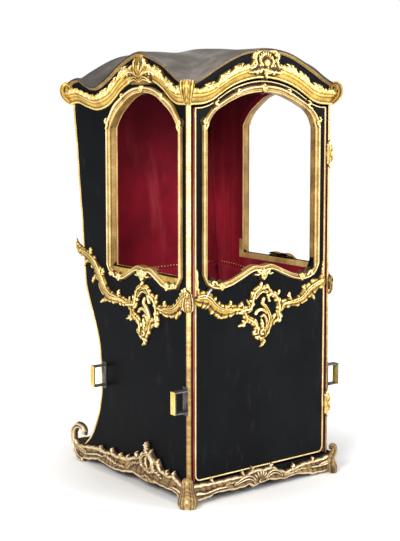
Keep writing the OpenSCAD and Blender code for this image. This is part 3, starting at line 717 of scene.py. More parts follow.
def cornice(name, face, s, low, high, lean, node):
    """One side of the cornice: gilt coves with a carved crest, a dark field and the roof's edge strip."""
    n = len(s)
    crest = crest_line(lean, np.abs(lean).max())
    top = high - EDGE_H
    rows_z, rows_h, rows_mat, rows_carve = [], [], [], []

    def row(z, h, mat, carve):
        rows_z.append(np.broadcast_to(z, n))
        rows_h.append(np.broadcast_to(h, n))
        rows_mat.append(mat)
        rows_carve.append(np.broadcast_to(carve, n))

    ends = np.clip((np.abs(lean).max() - np.abs(lean)) / 50, 0, 1)
    low = low - CORNICE_DROP
    row(low, 0.0, 0, 0.3)
    for u in np.linspace(0, 1, 29):
        v = u * crest
        bead = 5.0 * np.sqrt(np.clip(1 - ((v - 5) / 5) ** 2, 0, 1))
        cove = 5.0 + 11.0 * np.clip((v - 10) / 30, 0, 1) ** 1.3
        rib = 3.0 * np.sqrt(np.clip(1 - ((v - 35) / 4.2) ** 2, 0, 1)) + 1.6 * np.exp(-((v - 23) / 2.0) ** 2)
        leaf = np.clip((u - 0.68) / 0.08, 0, 1) * np.sqrt(np.clip(1 - np.clip((u - 0.84) / 0.16, 0, 1) ** 2, 0, 1))
        curl = leaf * (5.5 + 2.8 * np.cos(2 * math.pi * lean / 20.5 + 7 * u) * np.cos(2 * math.pi * lean / 61.5))
        h = np.where(v < 10, 4.5 + bead, cove) + rib + curl
        # Carve is higher on the bead, rib and curl, as painted highlight, and lower in the grooves at 11, 28 and 41
        # mm, as grime and painted shade.
        carve = 0.56 + 0.05 * bead + 0.06 * rib + 0.055 * curl - 0.34 * np.exp(-((v - 11) / 2.2) ** 2) \
            - 0.16 * np.exp(-((v - 28) / 2.2) ** 2) - 0.20 * np.exp(-((v - 41) / 2.0) ** 2)
        row(low + v, h, 0, carve)
    row(low + crest + 0.6, FIELD_OUT, 1, 0.2)
    for u in np.linspace(0, 1, 4):
        row(low + crest + 1 + u * (top - low - crest - 1.5), FIELD_OUT + 1.2 * math.sin(math.pi * u), 1, 0.4)
    for u in np.linspace(0, 1, 10):
        groove = 1.5 * math.exp(-((u - 0.36) / 0.07) ** 2) + 1.3 * math.exp(-((u - 0.68) / 0.06) ** 2)
        round_off = math.sqrt(max(0, 1 - (2 * u - 1) ** 6))
        h = FIELD_OUT + (7.0 + 7.5 * ends) * round_off - groove
        # Carve is lower in the edge strip's two grooves: grime and painted shade.
        row(top + u * EDGE_H, h, 2, 0.60 - 0.28 * groove)
    row(high, 0.0, 2, 0.3)
    z, h = np.stack(rows_z, 1), np.stack(rows_h, 1)
    s0, s1 = s.min() + 22, s.max() - 22
    along_wall = np.repeat(s[:, None], z.shape[1], 1)
    left, right = s0 + 30 - along_wall, along_wall - (s1 - 30)
    along_wall = np.where(left > 0, s0 + 30 - left * (30 + h) / 52, along_wall)
    along_wall = np.where(right > 0, s1 - 30 + right * (30 + h) / 52, along_wall)
    pts = face(along_wall, z, h)
    mats = np.array(rows_mat)
    cell = np.where(mats[:-1] == mats[1:], mats[1:], 1)
    obj = grid_piece(name, pts, flips(face), np.stack(rows_carve, 1), np.tile(cell, n - 1))
    finish_piece(obj, "cabin", [node], [GILT, FIELD, AGED])


def make_cornices():
    x = np.linspace(-HALF_W - 22, HALF_W + 22, 281)
    low = front_low(np.minimum(np.abs(x), HALF_W))
    cornice("cornice_front_carved", on_front, x, low, roof_z(x, -EAVES_OUT) + 0.4, x, "cornice_front")
    cornice("cornice_back_carved", on_back_arch, x, low, roof_z(x, DEPTH + EAVES_OUT) + 0.4, x, "cornice_back")
    d = np.linspace(-22, DEPTH + 22, 311)
    low = curve(SIDE_LOW, d)
    high = EAVES_Z + curve(SIDE_TOP, d) - EAVES_Z + 0.4
    for side, face in SIDES_OF_CABIN:
        cornice("cornice_%s_carved" % side, face, d, low, high, d - SIDE_MID, "cornice_" + side)


make_cornices()


def make_crests():
    """Carved cartouches at the middle of the cornices."""
    for name, face, mid, top in (("crest_front", on_front, 0, 1774), ("crest_back", on_back_arch, 0, 1746)):
        r = Relief(mid - 140, mid + 140, top - 128, min(top + 8, 1768), floor=-16)
        z = top - 48
        r.stroke([(mid - 60, z - 24), (mid, z - 8), (mid + 60, z - 24)], [22, 36, 22], 8, "round")
        r.shell((mid - 4, z - 6), 48, 15, 28, 150, 7)
        r.boss((mid + 2, z - 6), 19, 18)
        r.stroke([(mid - 26, z + 40), (mid - 46, z + 34), (mid - 58, z + 14), (mid - 52, z - 8), (mid - 64, z - 24),
                  (mid - 92, z - 26), (mid - 124, z - 34)], [7, 12, 13, 13, 13, 13, 4], [14, 17, 16, 15, 14, 13, 8],
                 "frond", 8)
        r.stroke([(mid + 20, z + 42), (mid + 44, z + 38), (mid + 60, z + 20), (mid + 56, z - 2), (mid + 66, z - 20),
                  (mid + 96, z - 24), (mid + 126, z - 34)], [7, 12, 13, 13, 13, 13, 4], [14, 17, 16, 15, 14, 13, 8],
                 "frond", 8)
        r.stroke([(mid - 22, z - 16), (mid - 34, z + 2), (mid - 24, z + 22), (mid - 4, z + 30)], [5, 7, 7, 4], 18)
        r.stroke([(mid + 24, z - 20), (mid + 34, z - 4), (mid + 28, z + 14)], [5, 7, 4], 18)
        r.stroke([(mid - 10, z - 30), (mid + 14, z - 38), (mid + 46, z - 42), (mid + 84, z - 44)], [8, 12, 12, 4], 16,
                 "frond", 6)
        r.stroke([(mid - 20, z - 32), (mid - 46, z - 38), (mid - 84, z - 44)], [11, 12, 4], 16, "frond", 5)
        r.stroke([(mid + 6, z - 26), (mid + 2, z - 48), (mid + 8, z - 68)], [12, 10, 2], [16, 14, 8], "leaf", 3)
        r.gilded(name, lifted(face, RAISED))
    for side, face, down in (("left", on_left, 0), ("right", on_right, 24)):
        m = SIDE_MID
        r = Relief(m - 150, m + 150, 1636, 1754, floor=-16)
        r.stroke([(m - 50, 1664), (m, 1678), (m + 50, 1664)], [16, 32, 16], 8, "round")
        r.stroke([(m, 1652), (m, 1696), (m - 2, 1744 - down)], [66, 50, 22], 11, "round")
        for k in (-1, 1):
            r.stroke([(m + 8 * k, 1672), (m + 34 * k, 1712), (m + 26 * k, 1738 - down)], [10, 15, 4], 15, "frond", 5)
            r.stroke([(m + 20 * k, 1672), (m + 60 * k, 1694), (m + 90 * k, 1676)], [16, 17, 5], 13, "frond", 6)
        for a, b, w in (((m - 4, 1700), (m - 6, 1752 - down), 19), ((m + 10, 1690), (m + 24, 1738 - down), 15),
                        ((m - 18, 1690), (m - 30, 1734 - down), 15), ((m + 24, 1680), (m + 48, 1716), 14),
                        ((m - 28, 1680), (m - 54, 1710), 14)):
            r.stroke([(m, 1664), a, b], [9, w, 4], [14, 18, 11], "frond", 4)
        for k in (-1, 1):
            r.stroke([(m + 14 * k, 1664), (m + 46 * k, 1684), (m + 88 * k, 1682), (m + 134 * k, 1660)],
                     [13, 16, 14, 4], [14, 15, 13, 7], "frond", 8)
            r.stroke([(m + 6 * k, 1650), (m + 28 * k, 1660), (m + 50 * k, 1656), (m + 74 * k, 1644)],
                     [9, 12, 10, 3], 15)
        r.stroke([(m, 1706), (m, 1672), (m, 1642)], [11, 11, 3], [18, 17, 10], "rib")
        r.gilded("crest_" + side, lifted(face, RAISED))


make_crests()


def make_flourishes():
    """Leafy scrolls that climb from the cornices' gilt edge into the black field."""
    def end_low(s):
        return front_low(np.minimum(np.abs(s), HALF_W))

    def side_low(s):
        return curve(SIDE_LOW, s)

    walls = (("front", on_front, end_low, 0, (118, 186, 262)), ("back", on_back_arch, end_low, 0, (118, 186, 262)),
             ("left", on_left, side_low, SIDE_MID, (104, 178, 246)),
             ("right", on_right, side_low, SIDE_MID, (104, 178, 246)))
    for key, face, low, mid, starts in walls:
        r = Relief(mid - 350, mid + 350, 1590, 1740, floor=-16)
        for k in (-1, 1):
            for n, start in enumerate(starts):
                def at(along_by, up_by):
                    s = mid + k * (start + along_by)
                    return s, float(low(s)) + GILT_H - 8 + up_by

                r.stroke([at(0, -8), at(14, 5), at(34, 8), at(52, -5)], [7, 11, 10, 3], 13, "frond", 6)
                r.stroke([at(10, 2), at(4, 12), at(-6, 17 - n)], [6, 6, 1.5], 12, "leaf", 3)
                r.stroke([at(30, 6), at(26, 15), at(16, 20 - n)], [5, 5, 1.5], 11, "leaf", 3)
                r.boss(at(50, -6), 7, 12, turns=1)
        r.gilded("cornice_flourish_" + key, lifted(face, RAISED))


make_flourishes()


def ribbon(name, path, half, corner, body, mat, nodes=(), ribs=5, depth=2.0, thick=(8,)):
    """A thick carved scroll that rises and curls in the upright plane through a corner.

    path is the middle of the scroll's thickness as (out, up) from the corner, half its half width and
    thick half its thickness along it; corner is (x, d, turn), with the plane's direction from +X.
    """
    line = smooth_line(path, 80)
    t = np.linspace(0, 1, len(line))
    w, k = along(half, t)[:, None], along(thick, t)[:, None]
    tangent = np.gradient(line, axis=0)
    tangent /= np.linalg.norm(tangent, axis=1)[:, None]
    normal = np.stack([tangent[:, 1], -tangent[:, 0]], -1)
    a = np.linspace(0, 2 * math.pi, 60, endpoint=False)[None]
    across, high = np.cos(a), np.sin(a)
    square = 0.55
    v = np.sign(across) * np.abs(across) ** square
    n = np.sign(high) * np.abs(high) ** 0.75
    groove = depth * (np.cos(2 * math.pi * ribs / 2 * v) - 1) * (high > 0)
    side_ring = 1 + 0.05 * np.cos(2 * math.pi * 2.5 * n) + 0.05 * np.abs(np.sin(2 * math.pi * 5 * t))[:, None]
    ripple = np.cos(2 * math.pi * 9 * t[:, None] + 5 * np.abs(v)) * np.clip(1 - np.abs(v), 0, 1) * (high > 0)
    wide = w * v * side_ring
    lift = k * n + groove * np.clip(w / w.max(), 0.35, 1) + 0.9 * ripple
    # Carve is lower in the grooves, as grime and painted shade, and higher on the ripples and one face of the scroll,
    # as painted highlight.
    carve = np.clip(0.60 + 0.16 * groove + 0.1 * n + 0.08 * np.cos(2 * math.pi * 2.5 * n) + 0.13 * ripple, 0, 1)
    out = line[:, 0:1] + normal[:, 0:1] * lift
    up = line[:, 1:2] + normal[:, 1:2] * lift
    x0, d0, turn = corner
    c, s = math.cos(math.radians(turn)), math.sin(math.radians(turn))
    pts = np.stack([x0 + c * out - s * wide, FRONT + d0 + s * out + c * wide, np.maximum(up, 0.6)], -1)
    caps = [np.repeat(pts[i].mean(0)[None, None], pts.shape[1], 1) for i in (0, -1)]
    pts = np.concatenate([caps[0], pts, caps[1]])
    carve = np.concatenate([carve[:1], carve, carve[-1:]])
    obj = grid_piece(name, pts, flip=True, carve=carve, wrap_v=True)
    return finish_piece(obj, body, nodes, [mat])


def make_corner_leaves():
    """Solid volutes that scroll outwards over the cornice's corners and up from the feet."""
    corners = {"front_left": (-HALF_W, 0, 225), "front_right": (HALF_W, 0, 315),
               "back_left": (-HALF_W, DEPTH, 135), "back_right": (HALF_W, DEPTH, 45)}
    ear = [(6, 1563), (20, 1575), (32, 1590), (38, 1611), (34, 1632), (20, 1643), (5, 1639), (-2, 1627), (3, 1615),
           (13, 1613), (19, 1620), (15, 1627), (10, 1625)]
    for key, corner in corners.items():
        nodes = ["cornice_scrolls"] if key == "front_left" else []
        ribbon("cornice_leaf_" + key, ear, [12, 16, 20, 25, 28, 27, 24, 22, 20, 18, 16, 13, 9], corner, "cabin",
               GILT, nodes, ribs=5, depth=1.4, thick=[7, 9, 10, 9.5, 9, 8.5, 8, 7, 6.5, 6])
    foot = [(12, 2), (19, 8), (20, 22), (15, 44), (16, 62), (22, 78), (29, 94), (30, 108), (20, 115), (11, 108),
            (14, 99)]
    for key in ("front_left", "front_right"):
        nodes = ["base_corners"] if key == "front_left" else []
        ribbon("foot_leaf_" + key, foot, [15, 31, 38, 34, 28, 25, 24, 21, 16, 11, 6], corners[key], "cabin",
               AGED, nodes, ribs=7, depth=1.1, thick=[12, 22, 23, 18, 16, 15, 13, 10, 8, 6, 5])
        knot = [(-3, 766), (6, 777), (10, 794), (8, 812), (3, 826), (8, 836), (4, 842)]
        ribbon("corner_knot_" + key, knot, [10, 21, 25, 22, 17, 17, 9], corners[key], "cabin", PALE,
               ribs=5, depth=1.9, thick=[3, 6, 7, 6, 5, 5, 3])


make_corner_leaves()


# ---- Window mouldings ----------------------------------------------------------------------------

def window_loop(arch, wave, side_x, n_top=60, n_side=30, n_low=60):
    """Points once round a window, from the middle of its top: arch, side, wavy sill and back again."""
    x = np.linspace(0, side_x[0], n_top)
    half = [np.stack([x, curve(arch, x, True)], -1)]
    z = np.linspace(half[0][-1, 1], curve(wave, side_x[1]), n_side)[1:]
    xs = side_x[0] + (side_x[1] - side_x[0]) * (z - z[0]) / (z[-1] - z[0])
    half.append(np.stack([xs, z], -1))
    x = np.linspace(side_x[1], 0, n_low)[1:]
    half.append(np.stack([x, curve(wave, x, True)], -1))
    right = np.concatenate(half)
    left = right[-2:0:-1] * [-1, 1]
    return np.concatenate([right, left])


# the moulding's section: share of the way out, height and carve; the carve is high on the ridges as painted highlight
# and low in the grooves as grime and painted shade
MOULD = [(-0.03, -26, 0.36), (-0.03, -14, 0.42), (-0.03, -3, 0.40), (-0.01, 0, 0.3), (0.03, 4, 0.55),
         (0.10, 7, 0.8), (0.17, 7.5, 0.85), (0.23, 5, 0.35), (0.28, 6.5, 0.5), (0.36, 8, 0.7), (0.44, 7, 0.45),
         (0.52, 6, 0.25), (0.58, 9, 0.5), (0.66, 12.5, 0.85), (0.75, 14, 1.0), (0.84, 13, 0.85), (0.90, 9.5, 0.55),
         (0.95, 6, 0.3), (1.0, 4, 0.4), (1.03, -1.5, 0.2)]


def window_moulding(name, face, about, inner, outer, body, node):
    rows, steps = np.array(MOULD), np.linspace(0, 1, 48)
    u, h, c = (np.interp(steps, np.linspace(0, 1, len(rows)), column) for column in rows.T)
    loop = between(inner, outer, u)
    sill_top = 903
    h = np.maximum(h[None], np.where(inner[:, 1] > sill_top, -99, -7)[:, None])
    pts = face(loop[..., 0] + about, loop[..., 1], h)
    obj = grid_piece(name, pts, not flips(face), np.broadcast_to(c * 0.78 + 0.08, loop.shape[:2]), wrap_u=True)
    finish_piece(obj, body, [node], [PALE])


def moulding_loops(arch, arch_out, wave, half, half_out):
    wave_in = [(a, b + WAVE_H) for a, b in wave]
    return window_loop(arch, wave_in, (half, half)), window_loop(arch_out, wave, (half_out, half_out))


def make_windows():
    inner, outer = moulding_loops(SIDE_ARCH, SIDE_ARCH_OUT, SIDE_WAVE, 236.5, 259.5)
    for side, face in SIDES_OF_CABIN:
        window_moulding("window_moulding_" + side, face, SIDE_MID, inner, outer, "cabin", "window_frame_" + side)
    inner, outer = moulding_loops(DOOR_ARCH, DOOR_ARCH_OUT, DOOR_WAVE, 280.5, 304)
    window_moulding("door_window_moulding", on_front, 0, inner, outer, "door", "door_window_frame")


make_windows()


def sill_board(name, face):
    """The flat gilt board behind a side window's wavy moulding, up to the straight sill."""
    reach = 246
    x = np.linspace(-reach, reach, 140)
    low = curve([(a, b + 8) for a, b in SIDE_WAVE], np.abs(x), True)
    u = np.linspace(0, 1, 12)
    z = low[:, None] * (1 - u) + np.maximum(SILL_Z, low + 0.5)[:, None] * u
    h = np.broadcast_to(np.where(u > 0.99, -2.0, 1.6), z.shape)
    pts = face(np.broadcast_to(x[:, None], z.shape) + SIDE_MID, z, h)
    obj = grid_piece(name, pts, flips(face), np.broadcast_to(0.45 + 0.1 * u, z.shape))
    finish_piece(obj, "cabin", [], [GILT])


for side, face in SIDES_OF_CABIN:
    sill_board("sill_board_" + side, face)


# ---- Carved garlands under the windows -----------------------------------------------------------

def rocaille(r, x, z=722):
    """The pierced shell-and-scroll cartouche, with x as its middle."""
    def at(*points):
        return [(x + a, z - 722 + b) for a, b in points]

    r.stroke(at((-112, 752), (-95, 736), (-84, 712), (-96, 694), (-120, 684)), [9, 13, 13, 12, 4], 13, "frond", 5)
    r.boss(at((-96, 686))[0], 9, 12, turns=1)
    r.stroke(at((-84, 712), (-60, 700), (-43, 690), (-28, 668), (-27, 645)), [10, 12, 13, 13, 10], 13, "frond", 5)
    r.stroke(at((-118, 742), (-90, 747), (-66, 750), (-56, 771), (-50, 794), (-40, 814), (-18, 828), (-7, 850)),
             [9, 13, 13, 13, 13, 13, 11, 2], 15, "frond", 9)
    r.stroke(at((-62, 760), (-72, 770), (-80, 786)), [6, 5, 1.5], 11, "leaf", 2)
    r.stroke(at((-98, 752), (-104, 764), (-103, 776)), [6, 5, 1.5], 11, "leaf", 2)
    r.stroke(at((-38, 790), (-21, 809), (0, 816), (21, 808)), [6, 9, 9, 6], 13)
    r.stroke(at((-10, 826), (8, 826), (22, 828), (36, 814), (48, 800)), [8, 10, 10, 9, 3], 14, "frond", 5)
    r.stroke(at((28, 797), (45, 799), (62, 792), (78, 773), (87, 745), (84, 720), (90, 700), (88, 686)),
             [7, 10, 12, 13, 13, 12, 12, 7], 15, "frond", 9)
    r.boss(at((82, 690))[0], 13, 15, turns=1)
    r.stroke(at((72, 688), (60, 682), (56, 672)), [6, 5, 2], 12)
    r.stroke(at((28, 795), (30, 782), (36, 772)), [5, 4, 3], 10, "round")
    r.boss(at((35, 771))[0], 6, 11)
    r.stroke(at((76, 790), (86, 800), (90, 810)), [7, 5, 1.2], 11, "leaf", 2)
    r.stroke(at((6, 784), (-1, 765), (14, 750), (28, 728), (38, 702), (30, 675), (8, 652)),
             [5, 6, 7, 8, 8, 7, 6], 12)
    r.stroke(at((-36, 725), (-28, 735), (-12, 740), (5, 736), (22, 722)), [5, 6, 6, 6, 4], 11)
    r.boss(at((-34, 726))[0], 6, 11)
    r.stroke(at((-6, 710), (5, 716), (15, 708), (22, 690), (22, 676)), [3, 5, 5, 5, 4], 10)
    r.stroke(at((-6, 702), (0, 680), (2, 655)), [2, 9, 9], 11, "leaf", 3)
    r.stroke(at((66, 708), (52, 697), (40, 674), (31, 650), (16, 628)), [8, 9, 9, 8, 5], 12, "frond", 5)
    r.boss(at((-2, 645))[0], 21, 14, turns=1.2)
    r.boss(at((-38, 648))[0], 15, 13, turns=1)
    r.stroke(at((-30, 632), (-8, 624), (4, 616), (4, 604), (-12, 590)), [10, 12, 12, 9, 2], 12, "leaf", 4)


def door_garland():
    r = Relief(-342, 342, 580, 945, gain=1.22)
    rocaille(r, 0)
    r.stroke([(-328, 815), (-300, 810), (-272, 800), (-252, 780), (-228, 762), (-204, 752), (-172, 750),
              (-138, 754), (-112, 750)], [22, 28, 30, 27, 25, 23, 21, 19, 12], 13, "frond", 13)
    r.stroke([(-322, 822), (-292, 820), (-266, 806), (-248, 786), (-226, 770), (-202, 760), (-168, 758)],
             [7, 9, 9, 8, 7, 6, 4], 16)
    r.stroke([(96, 730), (104, 744), (120, 752), (160, 752), (200, 757), (229, 774), (253, 793), (282, 808),
              (322, 822)], [9, 14, 17, 18, 19, 22, 24, 26, 22], 13, "frond", 12)
    r.stroke([(110, 752), (160, 757), (200, 763), (226, 780), (250, 800), (284, 816), (324, 830)],
             [4, 6, 7, 8, 8, 8, 6], 16)
    r.leaves(([(-185, 764), (-168, 776), (-164, 792)], [(-128, 762), (-112, 770), (-108, 782)],
              [(150, 764), (142, 780), (146, 796)], [(262, 776), (274, 766), (280, 752)],
              [(-236, 744), (-222, 732), (-204, 726)], [(228, 792), (222, 808), (228, 820)]), [8, 8, 1.5], 12)
    r.stroke([(-331, 925), (-331, 890), (-328, 850), (-318, 820)], [3, 6, 9, 14], 10, "frond", 6)
    r.stroke([(331, 905), (331, 880), (327, 850), (318, 826)], [2, 5, 8, 12], 10, "frond", 5)
    r.gilded("door_garland", on_front, "door", ["door_waist_moulding"])


def side_garlands():
    for side, face in SIDES_OF_CABIN:
        r = Relief(-12, 812, 580, 985, gain=1.25)
        r.mirror = 290
        rocaille(r, 0)
        r.mirror = None
        r.stroke([(-10, 827), (14, 817), (36, 800), (58, 779), (84, 761), (124, 752), (160, 754), (194, 757)],
                 [24, 26, 26, 24, 22, 20, 17, 9], 13, "frond", 11)
        r.stroke([(-6, 834), (20, 824), (44, 802), (66, 782), (96, 766), (150, 760)], [6, 8, 8, 8, 7, 4], 16)
        r.stroke([(402, 752), (430, 750), (451, 754), (500, 756), (545, 760), (586, 790), (626, 847), (664, 888),
                  (702, 910), (744, 926), (786, 940)], [10, 15, 18, 20, 22, 23, 23, 22, 20, 16, 8], 13, "frond", 17)
        r.stroke([(430, 756), (500, 763), (540, 770), (576, 800), (616, 856), (656, 896), (700, 918), (760, 936)],
                 [4, 7, 8, 8, 8, 8, 7, 4], 16)
        r.leaves(([(470, 764), (474, 782), (468, 796)], [(566, 744), (590, 736), (606, 724)],
                  [(640, 838), (662, 820), (670, 802)], [(704, 896), (728, 884), (738, 866)],
                  [(600, 842), (590, 858), (594, 872)], [(690, 920), (684, 938), (690, 950)],
                  [(142, 766), (150, 780), (146, 792)], [(50, 760), (66, 746), (70, 732)]), [9, 8, 1.5], 12)
        r.stroke([(764, 928), (788, 946), (802, 974)], [17, 13, 3], 13, "frond", 4)
        for a in (74, 55, 36, 16):
            c, s = math.cos(math.radians(a)), math.sin(math.radians(a))
            r.stroke([(-4, 800), (22 * c, 800 + 24 * s), (52 * c, 800 + 58 * s)], [7, 10, 4], 14, "rib")
        r.gilded("side_garland_" + side, face, "cabin", ["waist_moulding_" + side])


def back_garland():
    r = Relief(-366, 366, 580, 985, gain=1.22)
    rocaille(r, 0)
    for k in (-1, 1):
        r.stroke([(106 * k, 752), (160 * k, 756), (220 * k, 788), (270 * k, 850), (316 * k, 904), (362 * k, 938)],
                 [12, 18, 22, 23, 22, 14], 13, "frond", 13)
        r.stroke([(116 * k, 757), (162 * k, 764), (214 * k, 796), (262 * k, 858), (312 * k, 912)],
                 [4, 7, 8, 8, 5], 16)
        r.leaves(([(s * k, z), ((s + 14) * k, z - 14), ((s + 20) * k, z - 32)]
                  for s, z in ((150, 742), (218, 764), (276, 826), (330, 884))), [8, 8, 1.5], 11)
    r.gilded("back_garland", on_back, "cabin", ["waist_moulding_back"])


door_garland()
side_garlands()
back_garland()


def clasp(name, face, at, reach, height, body):
    """A small bundle of five leaves that ties a moulding."""
    x, z = at
    r = Relief(x - reach - 6, x + reach + 6, z - reach - 8, z + reach + 8, floor=-12, step=1.5)
    for u in (-1, -0.5, 0, 0.5, 1):
        r.stroke([(x + reach * 0.35 * u, z - reach * (0.9 - 0.3 * abs(u))), (x + reach * 0.5 * u, z),
                  (x + reach * 0.85 * u, z + reach * (0.9 - 0.45 * abs(u)))],
                 [reach * 0.14, reach * 0.22, reach * 0.08], [height, height + 3, height - 2], "rib")
    r.gilded(name, lifted(face, 8), body, step_blur=4)


def curls(name, face, about, marks, body):
    """Pairs of small scrolls that step a moulding at its shoulders: (across, z, slope in degrees, size)."""
    for side in (-1, 1):
        for n, (x, z, turn, k) in enumerate(marks):
            r = Relief(about + side * x - 2.4 * k, about + side * x + 2.4 * k, z - 2.4 * k, z + 2.4 * k, step=1.5,
                       floor=-12)
            c, s = math.cos(math.radians(turn)), math.sin(math.radians(turn))

            def at(a, b, c=c, s=s, x=x, z=z, side=side):
                return about + side * (x + c * a - s * b), z + s * a + c * b

            r.stroke([at(-1.6 * k, 0.1 * k), at(-0.6 * k, 0.6 * k), at(0.3 * k, 0.5 * k), at(0.35 * k, -0.2 * k)],
                     [0.3 * k, 0.42 * k, 0.4 * k, 0.3 * k], 11)
            r.boss(at(0.15 * k, -0.15 * k), 0.55 * k, 12, turns=0.8)
            r.stroke([at(1.4 * k, -0.5 * k), at(0.6 * k, -0.8 * k), at(0, -0.5 * k)],
                     [0.25 * k, 0.36 * k, 0.3 * k], 10)
            key = "a" if side < 0 else "b"
            r.gilded("%s_%d%s" % (name, n, key), lifted(face, 8), body, step_blur=4)


def make_clasps():
    clasp("door_clasp_centre", on_front, (0, 884), 24, 11, "door")
    clasp("door_clasp_left", on_front, (-214, 854), 17, 10, "door")
    clasp("door_clasp_right", on_front, (206, 856), 17, 10, "door")
    clasp("door_clasp_top", on_front, (0, 1624), 18, 9, "door")
    curls("door_shoulder", on_front, 0, [(293, 1486, 100, 13), (240, 1556, 132, 12), (134, 1606, 155, 10)], "door")
    curls("door_wave_curl", on_front, 0, [(256, 868, 25, 13), (28, 892, 160, 11)], "door")
    for side, face in SIDES_OF_CABIN:
        clasp("side_clasp_centre_" + side, face, (SIDE_MID, 878), 24, 11, "cabin")
        clasp("side_clasp_top_" + side, face, (SIDE_MID, 1622), 17, 9, "cabin")
        clasp("side_clasp_front_" + side, face, (SIDE_MID - 168, 852), 17, 10, "cabin")
        clasp("side_clasp_rear_" + side, face, (SIDE_MID + 168, 852), 17, 10, "cabin")
        curls("side_shoulder_" + side, face, SIDE_MID, [(250, 1480, 100, 13), (140, 1588, 150, 10)], "cabin")
        curls("side_wave_curl_" + side, face, SIDE_MID, [(216, 858, 30, 12), (28, 882, 160, 11)], "cabin")


make_clasps()


# ---- Beads and edges -----------------------------------------------------------------------------

def half_round(width, height, base):
    """A half-round section of (across, height, carve), from 0 to width, with the carve highest on the crown as a
    painted highlight.
    """
    out, n = [(0, -1.0, 0.2)], 14
    for k in range(n + 1):
        a = math.pi * k / n
        out.append((width / 2 - width / 2 * math.cos(a), height * math.sin(a), base + 0.55 * math.sin(a)))
    return out + [(width, -1.0, 0.2)]


def door_outline(inset, radius=26.0):
    """The door's edge moved in by a distance, with rounded lower corners, once round."""
    half = 343.0 - inset
    low = 90.0 + inset
    x = np.linspace(0, half, 90)
    top = np.stack([x, front_low(np.minimum(x, 343)) - 16 - inset], -1)
    side_z = np.linspace(top[-1, 1], low + radius, 40)[1:]
    side = np.stack([np.full(len(side_z), half), side_z], -1)
    a = np.linspace(0, math.pi / 2, 12)[1:]
    turn = np.stack([half - radius + radius * np.cos(a), low + radius - radius * np.sin(a)], -1)
    x = np.linspace(half - radius, 0, 40)[1:]
    base = np.stack([x, np.full(len(x), low)], -1)
    right = np.concatenate([top, side, turn, base])
    return np.concatenate([right, right[-2:0:-1] * [-1, 1]])


def make_door_bead():
    outer, inner = door_outline(3.2, 26), door_outline(10.2, 19)
    outer[outer[:, 1] > 1520] += [0, 5.0]
    inner[inner[:, 1] > 1515] += [0, 6.0]
    u, h, c = np.array(half_round(1.0, 4.0, base=0.25)).T
    loop = between(outer, inner, u)
    pts = on_front(loop[..., 0], loop[..., 1], np.broadcast_to(h, loop.shape[:2]))
    obj = grid_piece("door_bead_round", pts, False, np.broadcast_to(c, loop.shape[:2]), wrap_u=True)
    finish_piece(obj, "door", ["door_bead"], [PALE])


make_door_bead()


def make_door_head():
    """The black rail that the top of the door closes against."""
    x = np.linspace(-343, 343, 150)
    low, top = front_low(x) - 40, front_low(np.maximum(np.abs(x) - 70, 0)) + 8
    rows = [(low, -33), (top, -33), (top, -50), (low, -50)]
    pts = np.stack([on_front(x, z, h + 0 * x) for z, h in rows], 1)
    obj = grid_piece("door_head_rail", pts, flip=True, wrap_v=True)
    finish_piece(obj, "cabin", [], [FIELD])


make_door_head()


def make_corner_beads():
    """Half-round gilt strips up the cabin's front corners, and black strips beside them as painted shadow in the
    jambs' gaps.
    """
    z = np.linspace(84, 1566, 240)
    # The strips' carve is darker towards the bottom, with a fine mottle.
    low_dark_mottle = -0.36 * np.clip((1000 - z) / 500, 0, 1) + 0.05 * np.sin(z / 3.1) * np.sin(z / 11.7)
    for side, sign in (("left", -1), ("right", 1)):
        rows = [(sign * (HALF_W - 14), 9.5, 0.3)]
        # The carve peaks on the crown facing out from the corner: a painted highlight.
        for k in range(21):
            a = math.radians(-20 + k * 6.5)
            rows.append((sign * (HALF_W - 9.5 + 10.5 * math.sin(a)), 9.0 - 10.5 * math.cos(a),
                         0.55 + 0.3 * math.cos(a - math.radians(45))))
        x, d, c = np.array(rows + [(sign * (HALF_W - 1), 18, 0.3), (sign * (HALF_W - 9), 18, 0.2)]).T
        obj = grid_piece("corner_bead_" + side, upright(x, d, z), sign < 0, c[None] + low_dark_mottle[:, None], wrap_v=True)
        finish_piece(obj, "cabin", ["front_bead_" + side], [PALE])
        # A black strip in the gap beside the door: painted shadow.
        line = upright(np.array([351.0, 351.0, 357.0, 357.0]) * sign, np.array([8.0, 1.5, 1.5, 8.0]), z)
        finish_piece(grid_piece("jamb_shadow_strip_" + side, line, sign < 0), "cabin", [], [FIELD])


make_corner_beads()


def make_back_beads():
    """Rounded gilt strips down the cabin's curved back edges."""
    z = np.linspace(48, 1566, 220)
    rows = [(4, 16.5, 0.25)]
    for k in range(21):
        # The carve peaks on the bead's outward crown: a painted highlight.
        a = math.radians(-25 + k * 7)
        rows.append((8.5 - 9.5 * math.cos(a), 8.5 - 9.5 * math.sin(a), 0.5 + 0.35 * math.cos(a - math.radians(45))))
    inset, d, c = np.array(rows + [(16.5, 4, 0.25), (16, 16, 0.2)]).T
    for side, sign in (("left", -1), ("right", 1)):
        pts = upright(sign * (HALF_W - inset), back_depth(z)[:, None] - d[None], z)
        obj = grid_piece("back_bead_" + side, pts, sign < 0, np.broadcast_to(c, pts.shape[:2]), wrap_v=True)
        finish_piece(obj, "cabin", ["back_post_" + side], [PALE])


make_back_beads()


# ---- Base rails ----------------------------------------------------------------------------------

